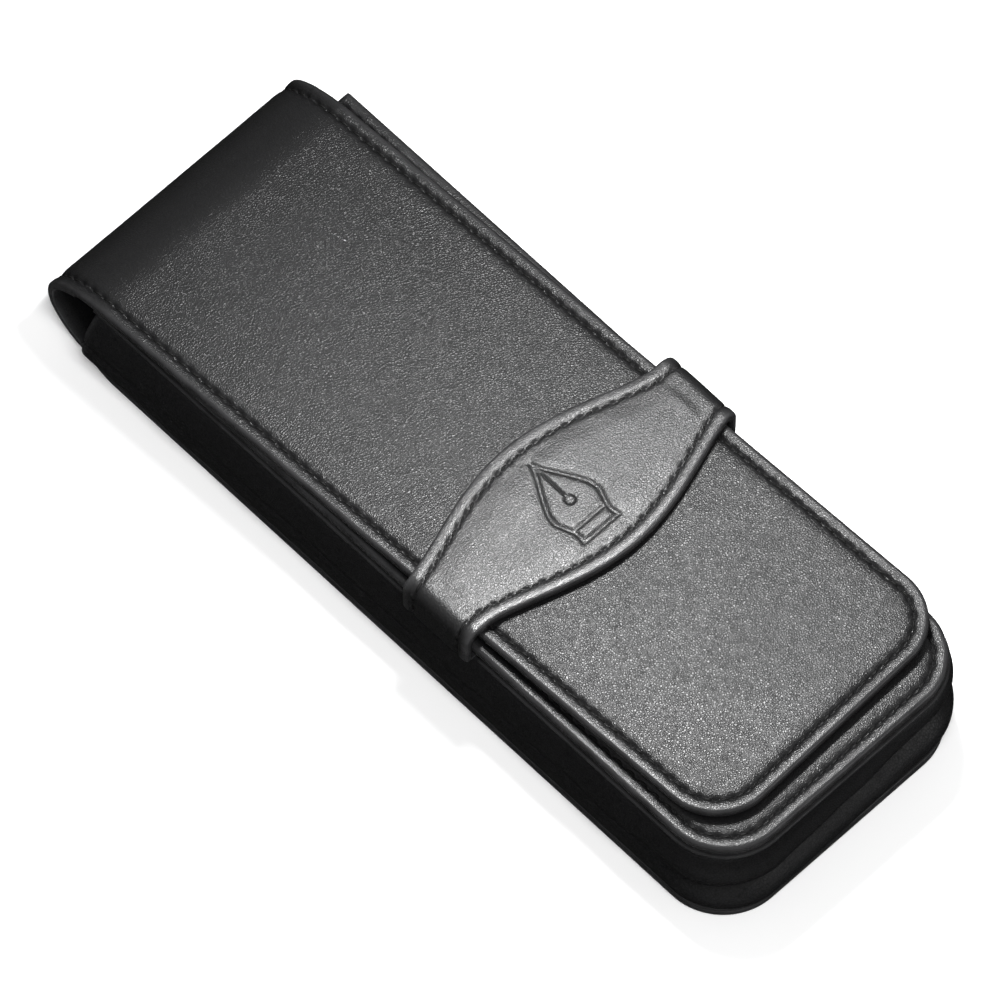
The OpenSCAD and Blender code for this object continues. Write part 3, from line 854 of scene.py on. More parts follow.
def fibre_material(name, colour):
    """Pressed fibre of the boards and the padding."""
    made, tree, shader, _ = start_material(name)
    place = add_node(tree, "ShaderNodeTexCoord").outputs["Object"]
    flecks = noise(tree, place, 900.0, 4.0, 0.7)
    dark = tuple(0.6 * c for c in colour)
    join(tree, mix_colours(tree, remap(tree, flecks, 0.35, 0.65), dark, colour),
         shader.inputs["Base Color"])
    join(tree, remap(tree, flecks, 0.3, 0.7, 0.75, 0.95), shader.inputs["Roughness"])
    raise_surface(tree, shader, flecks, 0.05, 0.5)
    return made


def one_scratch(tree, place, middle, length, width, turn):
    """A mask of one thin, broken scratch round a place on the hide."""
    moved = add_node(tree, "ShaderNodeMapping", vector_type="TEXTURE", Vector=place,
                     Location=middle, Rotation=(0, 0, turn), Scale=(length / 2, width / 2, 1.0))
    reach = vector_node(tree, "LENGTH", moved.outputs["Vector"])
    broken = remap(tree, noise(tree, place, 2600.0, 2.0), 0.4, 0.62, 0.0, 0.6)
    return math_node(tree, "MULTIPLY", remap(tree, reach.outputs["Value"], 0.6, 1.0, 1.0, 0.0),
                     broken)


def cover_leather(scene):
    """The smooth, finely pebbled leather of the cover and front."""
    spot = np.array([COVER.hinge_s[-1] + SCRATCH_X - FOLD_HINGES[-1][0], SCRATCH_Y, 0]) * MM
    nick = (tuple(spot), 3.6 * MM, 0.3 * MM, 0.2)
    return leather("Cover leather", scene.pencase_hide, nick=nick)


def gusset_leather(scene):
    """The soft, matt leather of the gusset."""
    return leather("Gusset leather", scene.pencase_hide, roughness=scene.pencase_gusset.roughness,
                   specular=0.35, grain=0.6, wrinkles=0.5, along=(0.5, 1, 1), rubbing_and_highlight=0.3, lines=260.0)


def strap_leather(scene):
    """The strap's leather, whose grain is drawn into wrinkles."""
    return leather("Strap leather", scene.pencase_hide, grain=0.6, wrinkles=0.5, specular=0.75,
                   along=(1.7, 0.8, 1), rubbing_and_highlight=0.8, lines=900.0)


def lining_leather(scene):
    """The thin, matt lining leather."""
    return leather("Lining leather", scene.pencase_hide, roughness=0.55, specular=0.35,
                   grain=0.5, rubbing_and_highlight=0.9, scratches=0.0)


# ---- Operators: the pieces --------------------------------------------------

class PieceOperator:
    """What the operators of the pieces share."""
    bl_options = {"REGISTER", "UNDO"}


def cover_faces(outline, sign, hide, radius, levelling):
    """Depths of the outer and inner face of the back, whose x runs against s, or of the flap."""
    holes = outline.holes()

    def outer(inset, x, y):
        uneven = cover_unevenness(sign * x, y, hide.waviness) * ease(*levelling, inset)
        return sewn_depth(inset, holes, radius) + uneven

    def inner(inset, x, y):
        edge = edge_thickness(sign * x)
        return edge - ease(*TURN_IN, inset) * (edge - LEATHER_T) - 0.4 * edge_drop(inset, 0.5)

    return outer, inner


def lining_faces(sign):
    """Depths of the outer and inner face of the cover's lining."""
    def outer(inset, x, y):
        return edge_thickness(sign * x) + 0.4 * edge_drop(inset, 0.2) + 0.02

    def inner(inset, x, y):
        return edge_thickness(sign * x) + LINING_T - edge_drop(inset, 0.22)

    return outer, inner


def make_run(names, finish, material, back, bends, flap, levels):
    """Makes one layer of the cover: its back, the four bends of the fold and its flap."""
    layer, piece_end, node_end = names
    outline, faces = back
    skin = panel_shell(outline, lay_back, *faces)
    bend_over_hinge(skin.piece(f"back_{piece_end}", material), 0, finish, f"back_{node_end}")
    for k in range(1, 5):
        skin = fold_strip(k, *bends, levels)
        bend_over_hinge(skin.piece(f"fold_bend_{layer}_{k}", material), k, finish,
                        f"fold_{layer}_{k}")
    outline, faces = flap
    skin = panel_shell(outline, COVER.place, *faces)
    bend_over_hinge(skin.piece(f"flap_{piece_end}", material), 5, finish, f"fold_{layer}_5",
                    f"flap_{node_end}")


class PENCASE_OT_cover(PieceOperator, bpy.types.Operator):
    """Makes the one run of leather: the back, the fold over the mouth and the flap"""
    bl_idname = "pencase.cover"
    bl_label = "Make the cover"

    def execute(self, context):
        hide = context.scene.pencase_hide
        back, flap = back_outline(), flap_outline()

        def bend_outer(inset, s, y):
            uneven = cover_unevenness(s, y, hide.waviness) * ease(1.0, 8.0, inset)
            return sewn_depth(inset, needle_holes(s / PITCH), hide.edge_radius * 0.7) + uneven

        def bend_inner(inset, s, y):
            return edge_thickness(s) + 0 * inset

        make_run(("leather", "leather", "panel"), "black_leather", cover_leather(context.scene),
                 (back, cover_faces(back, -1, hide, hide.edge_radius, (0.0, 6.0))),
                 (bend_outer, bend_inner),
                 (flap, cover_faces(flap, 1, hide, hide.edge_radius * 0.85, (2.0, 10.0))),
                 RIM_INSETS)
        return {"FINISHED"}


LINING_LEVELS = [0, 0.05, 0.15, 0.3, 1, 3, 8, 16, 24]


class PENCASE_OT_cover_lining(PieceOperator, bpy.types.Operator):
    """Makes the lining inside the back, the fold and the flap"""
    bl_idname = "pencase.cover_lining"
    bl_label = "Make the cover's lining"

    def execute(self, context):
        make_run(("lining", "lining_leather", "lining"), "lining_leather",
                 lining_leather(context.scene),
                 (back_outline(LINING_MARGIN, COARSE_STEP), lining_faces(-1)), lining_faces(1),
                 (flap_outline(LINING_MARGIN, COARSE_STEP), lining_faces(1)), LINING_LEVELS)
        return {"FINISHED"}


def lay_front(x, y, depth):
    """Puts a place on the front where it belongs, with depth going down."""
    return points_at(x, y, CASE_TOP - depth)


def front_outline():
    """The front panel's outline."""
    return Outline(MOUTH_X, BOTTOM_X, PANEL_HALF, CORNER_R, start_phase=0.35)


def pinched(depth, middle, x, edge_x, radius):
    """Draws a depth towards the middle of the thickness at a rounded end."""
    return middle + (depth - middle) * rounding(x - edge_x, radius)


class PENCASE_OT_front(PieceOperator, bpy.types.Operator):
    """Makes the front panel with its lining, and the leather facings inside the mouth"""
    bl_idname = "pencase.front"
    bl_label = "Make the front"

    def execute(self, context):
        scene = context.scene
        hide = scene.pencase_hide
        outline = front_outline()
        holes = outline.holes()
        edge_t = PANEL_T - LINING_T

        def outer(inset, x, y):
            uneven = hide.waviness * (1 + waves(x, y, 40, 21)) * ease(3.0, 10.0, inset)
            depth = sewn_depth(inset, holes, hide.edge_radius) + uneven
            return pinched(depth, edge_t / 2, x, MOUTH_X, hide.edge_radius)

        def inner(inset, x, y):
            past_turn = ease(*TURN_IN, inset) * ease(*TURN_IN, x - MOUTH_X)
            depth = edge_t - past_turn * (edge_t - LEATHER_T) - 0.5 * edge_drop(inset, 0.5)
            return pinched(depth, edge_t / 2, x, MOUTH_X, hide.edge_radius)

        skin = panel_shell(outline, lay_front, outer, inner, capped=False)
        settle(skin.piece("front_leather", cover_leather(scene)), "black_leather", "front_panel")
        lining_x = MOUTH_X + 0.6
        lining = Outline(lining_x, BOTTOM_X - LINING_MARGIN, PANEL_HALF - LINING_MARGIN,
                         CORNER_R - LINING_MARGIN, step=COARSE_STEP)

        def lining_outer(inset, x, y):
            return pinched(edge_t + 0.4 * edge_drop(inset, 0.2), edge_t + 0.2, x, lining_x, 0.3)

        def lining_inner(inset, x, y):
            return pinched(PANEL_T - edge_drop(inset, 0.22), edge_t + 0.2, x, lining_x, 0.3)

        skin = panel_shell(lining, lay_front, lining_outer, lining_inner, capped=False)
        settle(skin.piece("front_lining_leather", lining_leather(scene)), "lining_leather",
               "front_lining")
        for node in ("back_facing", "front_facing"):
            self.facing(scene, node)
        return {"FINISHED"}

    def facing(self, scene, node):
        """A flat strip with rounded edges, slightly uneven along its inner edge."""
        low, high = low_high(node)
        half, middle = (high - low) / 2, (low + high) / 2
        across = np.linspace(low[1], high[1], 90)
        turn = np.linspace(0, 2 * math.pi, 25)[:-1]
        shape_x = np.sign(np.cos(turn)) * np.abs(np.cos(turn)) ** 0.12
        shape_z = np.sign(np.sin(turn)) * np.abs(np.sin(turn)) ** 0.5
        from_middle = np.abs(across - across.mean()) / (across[-1] - across.mean())
        squeeze = np.sqrt(np.clip(1 - from_middle ** 40, 0, 1))
        wobble = 0.12 * waves(across, 0 * across, 14, 5)
        x = middle[0] + shape_x * half[0] * 0.985 + (shape_x > 0) * wobble[:, None]
        points = points_at(x, across[:, None], middle[2] + shape_z * half[2] * squeeze[:, None])
        skin = Skin()
        skin.patch(points, rim=0.2, wrap_cols=True)
        width = len(turn) // 2
        for row in (0, -1):
            loop = points[row]
            skin.patch([loop[:width + 1], np.vstack([loop[:1], loop[:width - 1:-1]])])
        settle(skin.piece(f"{node}_strip", cover_leather(scene)), "black_leather", node)


def band_sweep(skin, outline, section, first, last):
    """Carries a closed section of insets and heights along part of an outline."""
    points = np.array([points_at(*outline.ring(inset)[first:last].T, z) for inset, z in section])
    skin.patch(points, rim=0.6, wrap_rows=True)
    for col in (0, -1):
        skin.close(points[:, col])


def welt_section(z0, z1, width, proud):
    """A welt's section: flat, with a rounded outer edge that stands a little proud."""
    turn = np.linspace(-math.pi / 2, math.pi / 2, 10)
    half, middle = (z1 - z0) / 2, (z0 + z1) / 2
    nose = [(half - proud - half * math.cos(a), middle + half * math.sin(a)) for a in turn]
    flat = np.linspace(nose[-1][0], width, 5)[1:]
    return nose + [(d, z1) for d in flat] + [(d, z0) for d in flat[::-1]]


class PENCASE_OT_gusset(PieceOperator, bpy.types.Operator):
    """Makes the gusset round the three closed sides, with its lining and its two welts"""
    bl_idname = "pencase.gusset"
    bl_label = "Make the gusset"

    def execute(self, context):
        scene = context.scene
        settings = scene.pencase_gusset
        outline = Outline(MOUTH_X, BOTTOM_X, PANEL_HALF, CORNER_R, step=1.0)
        skin = self.wall(outline, settings, 0.0, GUSSET_T, True)
        settle(skin.piece("gusset_leather", gusset_leather(scene)), "black_leather", "gusset")
        skin = self.wall(outline, settings, GUSSET_T, GUSSET_T + LINING_T, False)
        settle(skin.piece("gusset_lining_leather", lining_leather(scene)), "lining_leather",
               "gusset_lining")
        clear = np.abs(outline.ring(0.0)[:, 0] - STRAP_X) > STRAP_GAP
        stops = [0, *(np.flatnonzero(np.diff(clear.astype(int))) + 1), len(clear)]
        for side, z0, z1, proud, spans in (
                ("back", PANEL_T, gusset_low[2], 0.3, [(0, None)]),
                ("front", gusset_high[2], CASE_TOP - PANEL_T, 0.45, zip(stops[::2], stops[1::2]))):
            skin = Skin()
            for start, stop in spans:
                band_sweep(skin, outline, welt_section(z0, z1, FLANGE, proud), start, stop)
            settle(skin.piece(f"{side}_welt_leather", cover_leather(scene)), "black_leather",
                   f"{side}_welt")
        return {"FINISHED"}

    def offsets(self, outline, settings, u):
        """How far the wall stands out, at each sample, at a share u of its height."""
        run, from_end = outline.run, outline.middle_run
        from_mouth = np.minimum(run, run[-1] - run)
        at_end = 1 - ease(14, 48, from_end)
        near_mouth = np.exp(-from_mouth / 34)
        swell = math.sin(math.pi * u) ** 0.75
        side = (settings.bulge + settings.mouth_bulge * near_mouth) * swell
        side = side - settings.crease * near_mouth * bell(u, 0.46, 0.09)
        side = side - 0.3 * bell(u, 0.5, 0.05) * ease(12, 60, from_mouth)
        side = side + 0.22 * waves(run, 18 * u, 26, 41) * swell
        signed = run - run[-1] / 2
        valley = 0.47 + 0.12 * np.sin(signed / 15)
        folds = (1.5 * bell(u, valley + 0.28, 0.14) - settings.pinch * bell(u, valley, 0.13)
                 + 1.7 * bell(u, valley - 0.28, 0.16)) * math.sin(math.pi * u) ** 0.35
        folds = folds + 0.25 * waves(signed, 30 * u, 15, 43) * swell
        return side * (1 - at_end) + folds * at_end

    def wall(self, outline, settings, near, far, flanged):
        """The wall between two depths from its outer face, with or without flanges."""
        low_x, high_x = MOUTH_X - 2.6, MOUTH_X + 0.4
        outer, inner = [], []
        for depth, rows in ((near, outer), (far, inner)):
            z0, z1 = gusset_low[2] + depth, gusset_high[2] - depth
            if flanged:
                rows.append((outline.ring(FLANGE, low_x + 2), z0))
                rows.append((outline.ring(WELD_INSET + depth, low_x + 1), z0))
            for u in np.linspace(0, 1, 43):
                x_start = low_x + (high_x - low_x) * u + 1.2 * (1 - float(ease(0, 0.16, u)))
                insets = depth - self.offsets(outline, settings, u)
                soft = 0.35 * (float(bell(u, 0, 0.03)) + float(bell(u, 1, 0.03)))
                rows.append((outline.pushed(insets + soft, x_start), z0 + (z1 - z0) * u))
            if flanged:
                rows.append((outline.ring(WELD_INSET + depth, high_x), z1))
                rows.append((outline.ring(FLANGE, high_x), z1))
        loop = outer + inner[::-1]
        points = np.array([points_at(*plan.T, z) for plan, z in loop])
        heights = np.array([z for _, z in loop])[:, None]
        count = len(outer)
        middle = (points[:count] + points[count:][::-1]) / 2
        from_mouth = np.minimum(outline.run, outline.run[-1] - outline.run)
        tight = rounding(from_mouth, 0.5)[None, :, None]
        points[:count] = middle + (points[:count] - middle) * tight
        points[count:] = middle[::-1] + (points[count:] - middle[::-1]) * tight
        skin = Skin()
        skin.patch(points, points_at(outline.run[None, :], heights, 0.0),
                   1 - ease(0.3, 1.6, from_mouth), wrap_rows=True)
        return skin


class PENCASE_OT_inside(PieceOperator, bpy.types.Operator):
    """Makes the two dividers between the pens"""
    bl_idname = "pencase.inside"
    bl_label = "Make the dividers"

    def execute(self, context):
        for number, node in enumerate(("divider_left", "divider_right")):
            low, high = low_high(node)
            middle_y = (low[1] + high[1]) / 2
            length = high[0] - low[0]
            thick = (high[1] - low[1]) / 2 - 0.5
            along = np.concatenate([[0, 0.12, 0.4, 0.9, 1.6], np.linspace(2.4, 6.6, 8),
                                    [7.0, 7.2, 7.6], np.linspace(9, length, 70)])
            up = np.linspace(0, 1, 22)
            half = (thick + 0.5 * (1 - ease(6.7, 7.3, along))) * rounding(along, 1.1)
            sway = 0.5 * waves(along[:, None], 9 * up[None, :], 55, 60 + number)
            sway = sway * np.sin(math.pi * up)[None, :] * ease(0, 10, along)[:, None]
            x = (low[0] + along)[:, None]
            z = (low[2] + (high[2] - low[2]) * up)[None, :]
            left = points_at(x, middle_y + sway + half[:, None], z)
            right = points_at(x, middle_y + sway - half[:, None], z)
            skin = Skin()
            loop = np.concatenate([left, right[:, ::-1]], 1)
            skin.patch(loop, loop[..., [0, 2, 1]], wrap_cols=True)
            skin.patch([left[-1], right[-1]])
            settle(skin.piece(f"{node}_leather", lining_leather(context.scene)),
                   "lining_leather", node)
        return {"FINISHED"}


def rounded_path(corners, radii, counts):
    """Points along straight runs whose corners are rounded."""
    corners = np.asarray(corners, float)
    points, start = [], corners[0]
    for i, radius in enumerate(radii):
        before, corner, after = corners[i], corners[i + 1], corners[i + 2]
        a, b = unit(before - corner), unit(after - corner)
        enter, leave = corner + a * radius, corner + b * radius
        points.append(start + (enter - start) * np.linspace(0, 1, counts[2 * i] + 1)[:-1, None])
        centre = corner + (a + b) * radius
        turn = np.linspace(0, math.pi / 2, counts[2 * i + 1] + 1)[:-1, None]
        points.append(centre - b * radius * np.cos(turn) - a * radius * np.sin(turn))
        start = leave
    points.append(start + (corners[-1] - start) * np.linspace(0, 1, counts[-1] + 1)[:, None])
    return np.vstack(points)


STRAP_COUNTS = [4, 6, 12, 12, 120]


def strap_path(out_y, top, seam_z, low_r, shoulder_r):
    """One face of the strap's band, from the near seam over the front to the far seam."""
    far = rounded_path([(STRAP_TUCK_Y, seam_z), (out_y, seam_z), (out_y, top), (0, top)],
                       [low_r, shoulder_r], STRAP_COUNTS)
    return np.vstack([far * [-1, 1], far[::-1][1:]])


def strap_faces():
    """The strap's outer face, the face between leather and lining, and the inner face."""
    lining_y, lining_top = strap_lining_high[1:]
    return (strap_path(strap_high[1], strap_high[2], strap_low[2] + 0.03, 0.75, 3.3),
            strap_path(lining_y, lining_top, strap_low[2] + 0.42, 0.4, 2.0),
            strap_path(lining_y - LINING_T, lining_top - LINING_T, strap_low[2] + 0.78, 0.2, 1.5))


def strap_edges(y, swell):
    """The strap's two edges: both swell in the middle, one a little before the other."""
    def widen(at):
        u = np.clip(np.abs(at) / (PANEL_HALF - 1.5), 0, 1)
        return STRAP_END_HALF + swell / 2 * np.cos(math.pi / 2 * u) ** 1.3
    return STRAP_X - widen(y + 2.0), STRAP_X + widen(y - 2.0)


def nib_press(x, y, length):
    """A plain pen nib pressed into the strap: 1 in its lines, 0 outside them."""
    t = (x + length / 2) / length
    half = np.interp(t, [0, 0.1, 0.25, 0.4, 0.55, 0.66, 0.76, 0.86, 0.93, 1.0],
                     np.array([0.0, 0.035, 0.12, 0.21, 0.285, 0.3, 0.262, 0.225, 0.22, 0.235])
                     * length)
    inside = half - np.abs(y)
    ends = np.minimum(t, 1 - t) * length
    distance = np.minimum(inside * 0.86, ends)
    outline = bell(distance, 0.0, 0.5)
    hole_distance = np.hypot(x - 0.06 * length, y)
    hole = 1 - ease(0.7, 1.3, hole_distance)
    slit = bell(y, 0, 0.26) * (1 - ease(-0.02 * length, 0.03 * length, x)) * ease(0, 0.05, t)
    collar = bell(t, 0.84, 0.022) * ease(0.0, 0.5, inside)
    soft = 0.25 * ease(-2.2, 0.0, distance) * (1 - ease(0.0, 1.6, distance))
    return np.maximum.reduce([outline, hole, slit * 0.85, collar * 0.8, soft])


class PENCASE_OT_strap(PieceOperator, bpy.types.Operator):
    """Makes the strap across the front, with its pressed nib, and its lining"""
    bl_idname = "pencase.strap"
    bl_label = "Make the strap"

    def execute(self, context):
        scene = context.scene
        settings = scene.pencase_strap
        outer, middle, inner = strap_faces()
        self.band(scene, settings, outer, middle)
        self.lining(scene, settings, middle, inner)
        return {"FINISHED"}

    def band(self, scene, settings, outer, inner):
        """The strap's leather, between its outer face and the lining."""
        rim = np.array([0, 0.04, 0.14, 0.3, 0.52, 0.8, 1.15, 1.5, 1.85, 2.15, 2.35, 2.55, 2.7,
                        2.85, 3.05, 3.3, 3.7, 4.3])
        inner_share = np.linspace(-1, 1, 72)[1:-1]
        run = run_along(outer)
        holes = needle_holes((run - run[-1] / 2) / PITCH, 0.15)
        points, places, rims = [], [], []
        for o, i, n, at, hole in zip(outer, inner, unit(outer - inner), run, holes):
            low, high = strap_edges(o[0], settings.swell)
            half, centre = (high - low) / 2, (high + low) / 2
            x = np.concatenate([low + rim, centre + inner_share * (half - rim[-1]),
                                (high - rim)[::-1]])
            edge = np.minimum(x - low, high - x)
            on_front = float(ease(-0.5, 1.5, (PANEL_HALF - 3) - abs(o[0])))
            rise = 0.10 * bell(edge, 1.3, 0.8) * settings.rim_height / 0.22
            rise = rise - settings.rim_height * bell(edge, STITCH_INSET, 0.5)
            rise = rise - 0.42 * bell(edge, STITCH_INSET, 0.32) * hole
            rise = rise + on_front * 0.22 * ease(3.0, 7.5, edge) - 0.22
            rise = rise - settings.motif_depth * on_front * nib_press(
                x - STRAP_X + 0.4, o[0] + 0.7, settings.motif_length)
            rise = rise + 0.05 * waves(x, at, 9, 71) * ease(3, 5, edge)
            rise = rise - edge_drop(edge, 0.55)
            thickness = float(np.linalg.norm(o - i))
            rise = np.maximum(rise, 0.1 - thickness) if thickness > 0.8 else rise * 0.2
            pocket = on_front * ease(4.3, 4.8, edge) * ease(0, 1.5, PANEL_HALF - 4.5 - abs(o[0]))
            lift = 0.64 * pocket + 0.35 * edge_drop(edge, 0.3)
            face = points_at(x, *(o + n * rise[:, None]).T)
            under = points_at(x, *(i + n * lift[:, None]).T)
            points.append(np.vstack([face, under[::-1]]))
            places.append(np.vstack([points_at(x, at, rise), points_at(x, at, -1.3)[::-1]]))
            mask = rim_mask(edge, 2.2)
            rims.append(np.concatenate([mask, mask[::-1]]))
        skin = Skin()
        skin.patch(points, places, np.array(rims), wrap_cols=True)
        for row in (0, -1):
            skin.close(points[row])
        settle(skin.piece("strap_leather", strap_leather(scene), sharp=60.0), "black_leather",
               "strap")

    def lining(self, scene, settings, outer, inner):
        """The thin lining under the strap."""
        share = np.array([0, 0.01, 0.03, 0.1, 0.3, 0.5, 0.7, 0.9, 0.97, 0.99, 1])
        points = []
        for o, i, n in zip(outer, inner, unit(outer - inner)):
            low, high = strap_edges(o[0], settings.swell)
            x = low + 0.15 + (high - low - 0.3) * share
            edge = np.minimum(x - low, high - x) - 0.15
            drop = n * 0.8 * edge_drop(edge, 0.2)[:, None]
            face, under = points_at(x, *(o - drop).T), points_at(x, *(i + drop).T)
            points.append(np.vstack([face, under[::-1]]))
        skin = Skin()
        skin.patch(points, rim=0.3, wrap_cols=True)
        for row in (0, -1):
            skin.close(points[row])
        settle(skin.piece("strap_lining_leather", lining_leather(scene)), "lining_leather",
               "strap_lining")


class PENCASE_OT_stitching(PieceOperator, bpy.types.Operator):
    """Makes every row of stitches, each stitch on its own"""
    bl_idname = "pencase.stitching"
    bl_label = "Make the stitching"

    def execute(self, context):
        scene = context.scene
        settings = scene.pencase_stitch
        material = thread_material(settings)
        skin = outline_threads(front_outline(), lay_front, settings)
        settle(skin.piece("front_threads", material), "thread", "front_stitching")
        skin = outline_threads(back_outline(), lay_back, settings)
        bend_over_hinge(skin.piece("back_threads", material), 0, "thread", "back_stitching")
        skin = outline_threads(flap_outline(), COVER.place, settings)
        bend_over_hinge(skin.piece("flap_threads", material), 5, "thread", "flap_stitching",
                        "fold_stitching_5")
        for k in range(1, 5):
            self.fold_row(k, settings, material)
        self.strap_rows(scene, settings, material)
        return {"FINISHED"}

    def fold_row(self, k, settings, material):
        """The stitches of one bend of the fold, on both of its sides."""
        low, high = COVER.middle_s[k], COVER.middle_s[k + 1]
        spots = (np.arange(math.floor(low / PITCH) - 1, math.ceil(high / PITCH) + 1) + 0.5) * PITCH
        spots = spots[(spots >= low) & (spots < high)]
        s = np.concatenate([spots, spots])
        side = np.repeat([-1, 1], len(spots))
        way = np.stack([side * -1.0, 0 * s], 1)
        skin = Skin()
        threads(skin, *lay_frames(COVER.place, s, side * (cover_half(s) - STITCH_INSET), way,
                                  THREAD_DEPTH), settings)
        bend_over_hinge(skin.piece(f"fold_bend_threads_{k}", material), k, "thread",
                        f"fold_stitching_{k}")

    def strap_rows(self, scene, settings, material):
        """Two rows along the strap's edges, over the front and down the sides."""
        swell = scene.pencase_strap.swell
        outer = strap_faces()[0]
        run = run_along(outer)
        count = int((run[-1] / 2 - 5.4) / PITCH)
        spots = (np.arange(-count, count) + 0.5) * PITCH + run[-1] / 2

        def path_at(at):
            return np.stack([np.interp(at, run, outer[:, i]) for i in (0, 1)], 1)

        def lay_strap(at, side, depth):
            ahead = unit(path_at(at + 0.2) - path_at(at - 0.2))
            y, z = path_at(at).T
            low, high = strap_edges(y, swell)
            x = np.where(side < 0, low + STITCH_INSET, high - STITCH_INSET)
            return points_at(x, y + ahead[:, 1] * depth, z - ahead[:, 0] * depth)

        skin = Skin()
        way = np.tile([1.0, 0.0], (len(spots), 1))
        for side in (-1, 1):
            threads(skin, *lay_frames(lay_strap, spots, side, way, STRAP_THREAD_DEPTH), settings)
        settle(skin.piece("strap_threads", material), "thread", "strap_stitching")


class PENCASE_OT_boards(PieceOperator, bpy.types.Operator):
    """Gives the sealed boards and the strap's padding their fibre finish"""
    bl_idname = "pencase.boards"
    bl_label = "Finish the boards"

    def execute(self, context):
        settings = context.scene.pencase_board
        board = fibre_material("Board fibre", settings.board_colour)
        padding = fibre_material("Padding fibre", tuple(0.5 * c for c in settings.board_colour))
        for node in ("back_board", "front_board", "flap_board", "strap_filler"):
            mesh = frame["nodes"][node].data
            mesh.materials.clear()
            mesh.materials.append(padding if node == "strap_filler" else board)
        return {"FINISHED"}


# ---- Operator: the stage ----------------------------------------------------

CAMERA_TURN = math.radians(45.38)
CAMERA_RISE = math.radians(61.44)
CAMERA_ROLL = math.radians(-0.475)
CAMERA_DISTANCE = 2.72
CAMERA_LENS = 36.0 * 5.567 * CAMERA_DISTANCE
CAMERA_TARGET = Vector((-0.0055, 0.00246, 0.0))


def aim(thing, place, target, roll=0.0):
    """Puts a lamp at a place, looking at a target and rolled about its beam."""
    place, target = Vector(place), Vector(target)
    thing.location = place
    thing.rotation_mode = "QUATERNION"
    rolled = Quaternion((0, 0, 1), roll)
    thing.rotation_quaternion = (target - place).to_track_quat("-Z", "Y") @ rolled


def soft_light(name, place, target, width, depth, power, roll=0.0):
    """A soft rectangular light that the camera doesn't see."""
    data = bpy.data.lights.new(name, "AREA")
    data.shape = "RECTANGLE"
    data.size, data.size_y = width, depth
    data.energy = power
    lamp = bpy.data.objects.new(name, data)
    bpy.context.scene.collection.objects.link(lamp)
    aim(lamp, place, target, roll)
    lamp.visible_camera = False
    return lamp


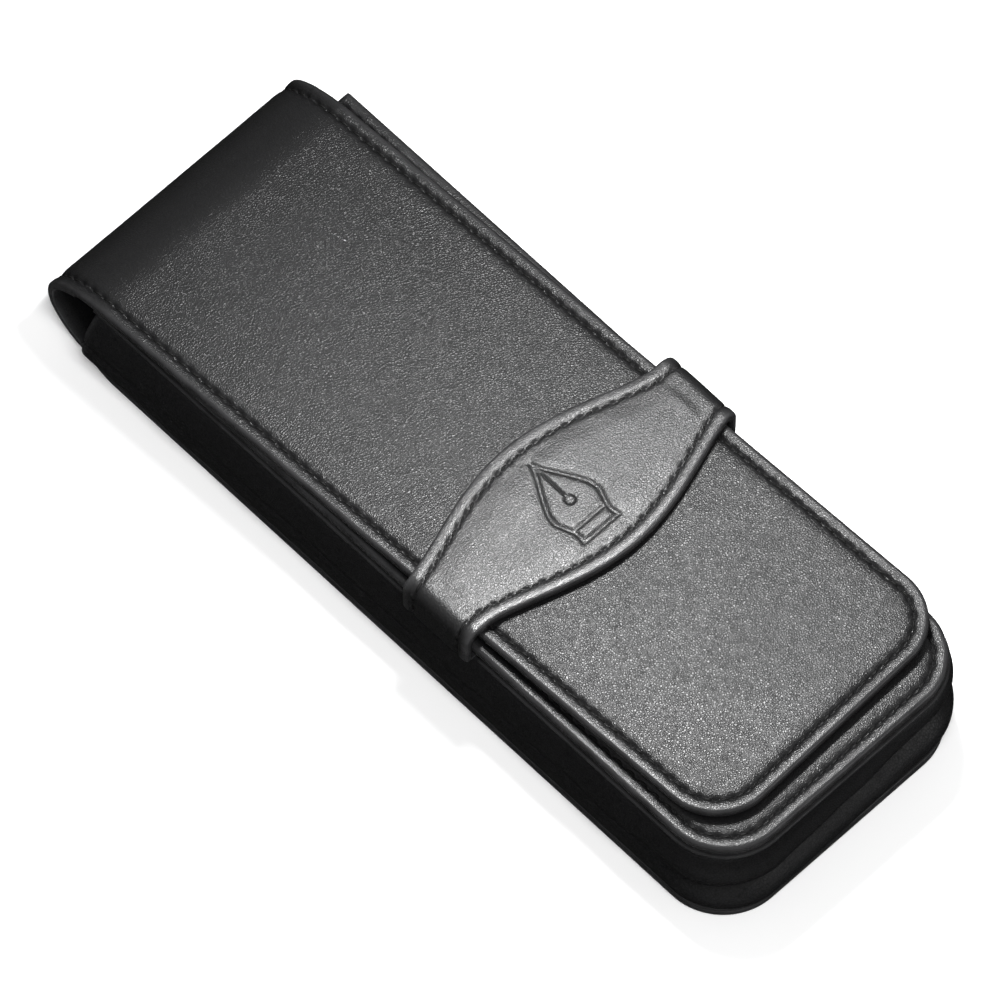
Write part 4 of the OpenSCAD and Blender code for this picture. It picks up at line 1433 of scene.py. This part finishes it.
class PENCASE_OT_stage(PieceOperator, bpy.types.Operator):
    """Sets the plain floor, the soft studio lights and the camera"""
    bl_idname = "pencase.stage"
    bl_label = "Set the stage"

    def execute(self, context):
        scene = context.scene
        settings = scene.pencase_stage
        self.floor(settings)
        soft_light("Key light", (-0.004, 0.034, 0.238), (0.081, -0.046, 0.029), 0.080, 0.030,
                   settings.key_power, math.radians(45))
        soft_light("Rim light", (-0.50, 0.16, 0.10), (-0.08, 0.0, 0.015), 0.30, 0.05,
                   settings.rim_power)
        soft_light("Edge light", (0.45, 0.17, 0.15), (0.085, 0.0, 0.012), 0.25, 0.06,
                   settings.edge_power)
        self.fill(scene, settings)
        self.surroundings(scene, settings)
        self.camera(scene)
        return {"FINISHED"}

    def floor(self, settings):
        """A wide, pale floor just under the case."""
        skin = Skin()
        reach = np.linspace(-4000, 4000, 9)
        x, y = np.meshgrid(reach, reach, indexing="ij")
        skin.patch(np.stack([x, y, np.full(x.shape, -0.02)], -1))
        made, tree, shader, _ = start_material("Floor paint")
        place = add_node(tree, "ShaderNodeTexCoord").outputs["Object"]
        speck = noise(tree, place, 40.0, 2.0)
        shade = tuple(0.985 * c for c in settings.floor_colour)
        join(tree, mix_colours(tree, speck, shade, settings.floor_colour),
             shader.inputs["Base Color"])
        shader.inputs["Roughness"].default_value = 0.9
        shader.inputs["Specular IOR Level"].default_value = 0.1
        floor = skin.piece("floor", made)
        floor.visible_glossy = False

    def fill(self, scene, settings):
        """A broad light from beside the camera, which evens out the floor."""
        data = bpy.data.lights.new("Fill light", "SUN")
        data.energy = settings.fill_level
        data.angle = math.radians(25)
        lamp = bpy.data.objects.new("Fill light", data)
        scene.collection.objects.link(lamp)
        aim(lamp, (0.62, -0.42, 1.5), (0, 0, 0))
        lamp.visible_glossy = False

    def surroundings(self, scene, settings):
        """An even, pale surrounding light."""
        world = bpy.data.worlds.new("Studio")
        world.use_nodes = True
        scene.world = world
        tree = world.node_tree
        sky = tree.nodes["Background"]
        sky.inputs["Color"].default_value = (1, 1, 1, 1)
        way = add_node(tree, "ShaderNodeTexCoord").outputs["Generated"]
        split = add_node(tree, "ShaderNodeSeparateXYZ")
        join(tree, way, split.inputs[0])
        rise = remap(tree, split.outputs["Z"], -0.1, 0.95, 0.08, 1.25)
        toward = add_node(tree, "ShaderNodeVectorMath", operation="DOT_PRODUCT")
        join(tree, way, toward.inputs[0])
        toward.inputs[1].default_value = (0.66, -0.66, 0.36)
        glow = remap(tree, toward.outputs["Value"], 0.45, 0.98, 0.0, 1.3)
        level = math_node(tree, "MAXIMUM", rise, glow)
        join(tree, math_node(tree, "MULTIPLY", level, settings.world_level), sky.inputs["Strength"])
        scene.view_settings.view_transform = "Standard"

    def camera(self, scene):
        """The camera, above the closed end and turned towards the strap."""
        turn, rise, roll = CAMERA_TURN, CAMERA_RISE, CAMERA_ROLL
        back = Vector((math.sin(turn) * math.cos(rise), -math.cos(turn) * math.cos(rise),
                       math.sin(rise)))
        right = Vector((math.cos(turn), math.sin(turn), 0))
        up = back.cross(right)
        rolled_right = right * math.cos(roll) - up * math.sin(roll)
        rolled_up = right * math.sin(roll) + up * math.cos(roll)
        data = bpy.data.cameras.new("Camera")
        data.sensor_width = 36.0
        data.lens = CAMERA_LENS
        data.clip_start, data.clip_end = 0.05, 30.0
        camera = bpy.data.objects.new("Camera", data)
        scene.collection.objects.link(camera)
        facing = Matrix((rolled_right, rolled_up, back)).transposed().to_4x4()
        camera.matrix_world = Matrix.Translation(CAMERA_TARGET + back * CAMERA_DISTANCE) @ facing
        scene.camera = camera


# ---- Panel and registration -------------------------------------------------

OPERATORS = (PENCASE_OT_stage, PENCASE_OT_cover, PENCASE_OT_cover_lining, PENCASE_OT_front,
             PENCASE_OT_gusset, PENCASE_OT_inside, PENCASE_OT_strap, PENCASE_OT_stitching,
             PENCASE_OT_boards)
SETTINGS = {"pencase_hide": HideSettings, "pencase_gusset": GussetSettings,
            "pencase_strap": StrapSettings, "pencase_stitch": StitchSettings,
            "pencase_board": BoardSettings, "pencase_stage": StageSettings}


class PENCASE_PT_making(bpy.types.Panel):
    """Lists the settings and the steps of making the case"""
    bl_idname = "PENCASE_PT_making"
    bl_label = "Pen case"
    bl_space_type = "VIEW_3D"
    bl_region_type = "UI"
    bl_category = "Pen case"

    def draw(self, context):
        for name, group in SETTINGS.items():
            box = self.layout.box()
            for key in group.__annotations__:
                box.prop(getattr(context.scene, name), key)
        for operator in OPERATORS:
            self.layout.operator(operator.bl_idname)


CLASSES = (*SETTINGS.values(), *OPERATORS, PENCASE_PT_making)


def register():
    """Registers the classes and gives the scene its settings."""
    for each in CLASSES:
        bpy.utils.register_class(each)
    for name, group in SETTINGS.items():
        setattr(bpy.types.Scene, name, PointerProperty(type=group))


def unregister():
    """Takes back what register did."""
    for name in SETTINGS:
        delattr(bpy.types.Scene, name)
    for each in reversed(CLASSES):
        bpy.utils.unregister_class(each)


def main():
    """Makes the whole case."""
    register()
    for operator in OPERATORS:
        group, name = operator.bl_idname.split(".")
        getattr(getattr(bpy.ops, group), name)()


if __name__ == "__main__":
    main()
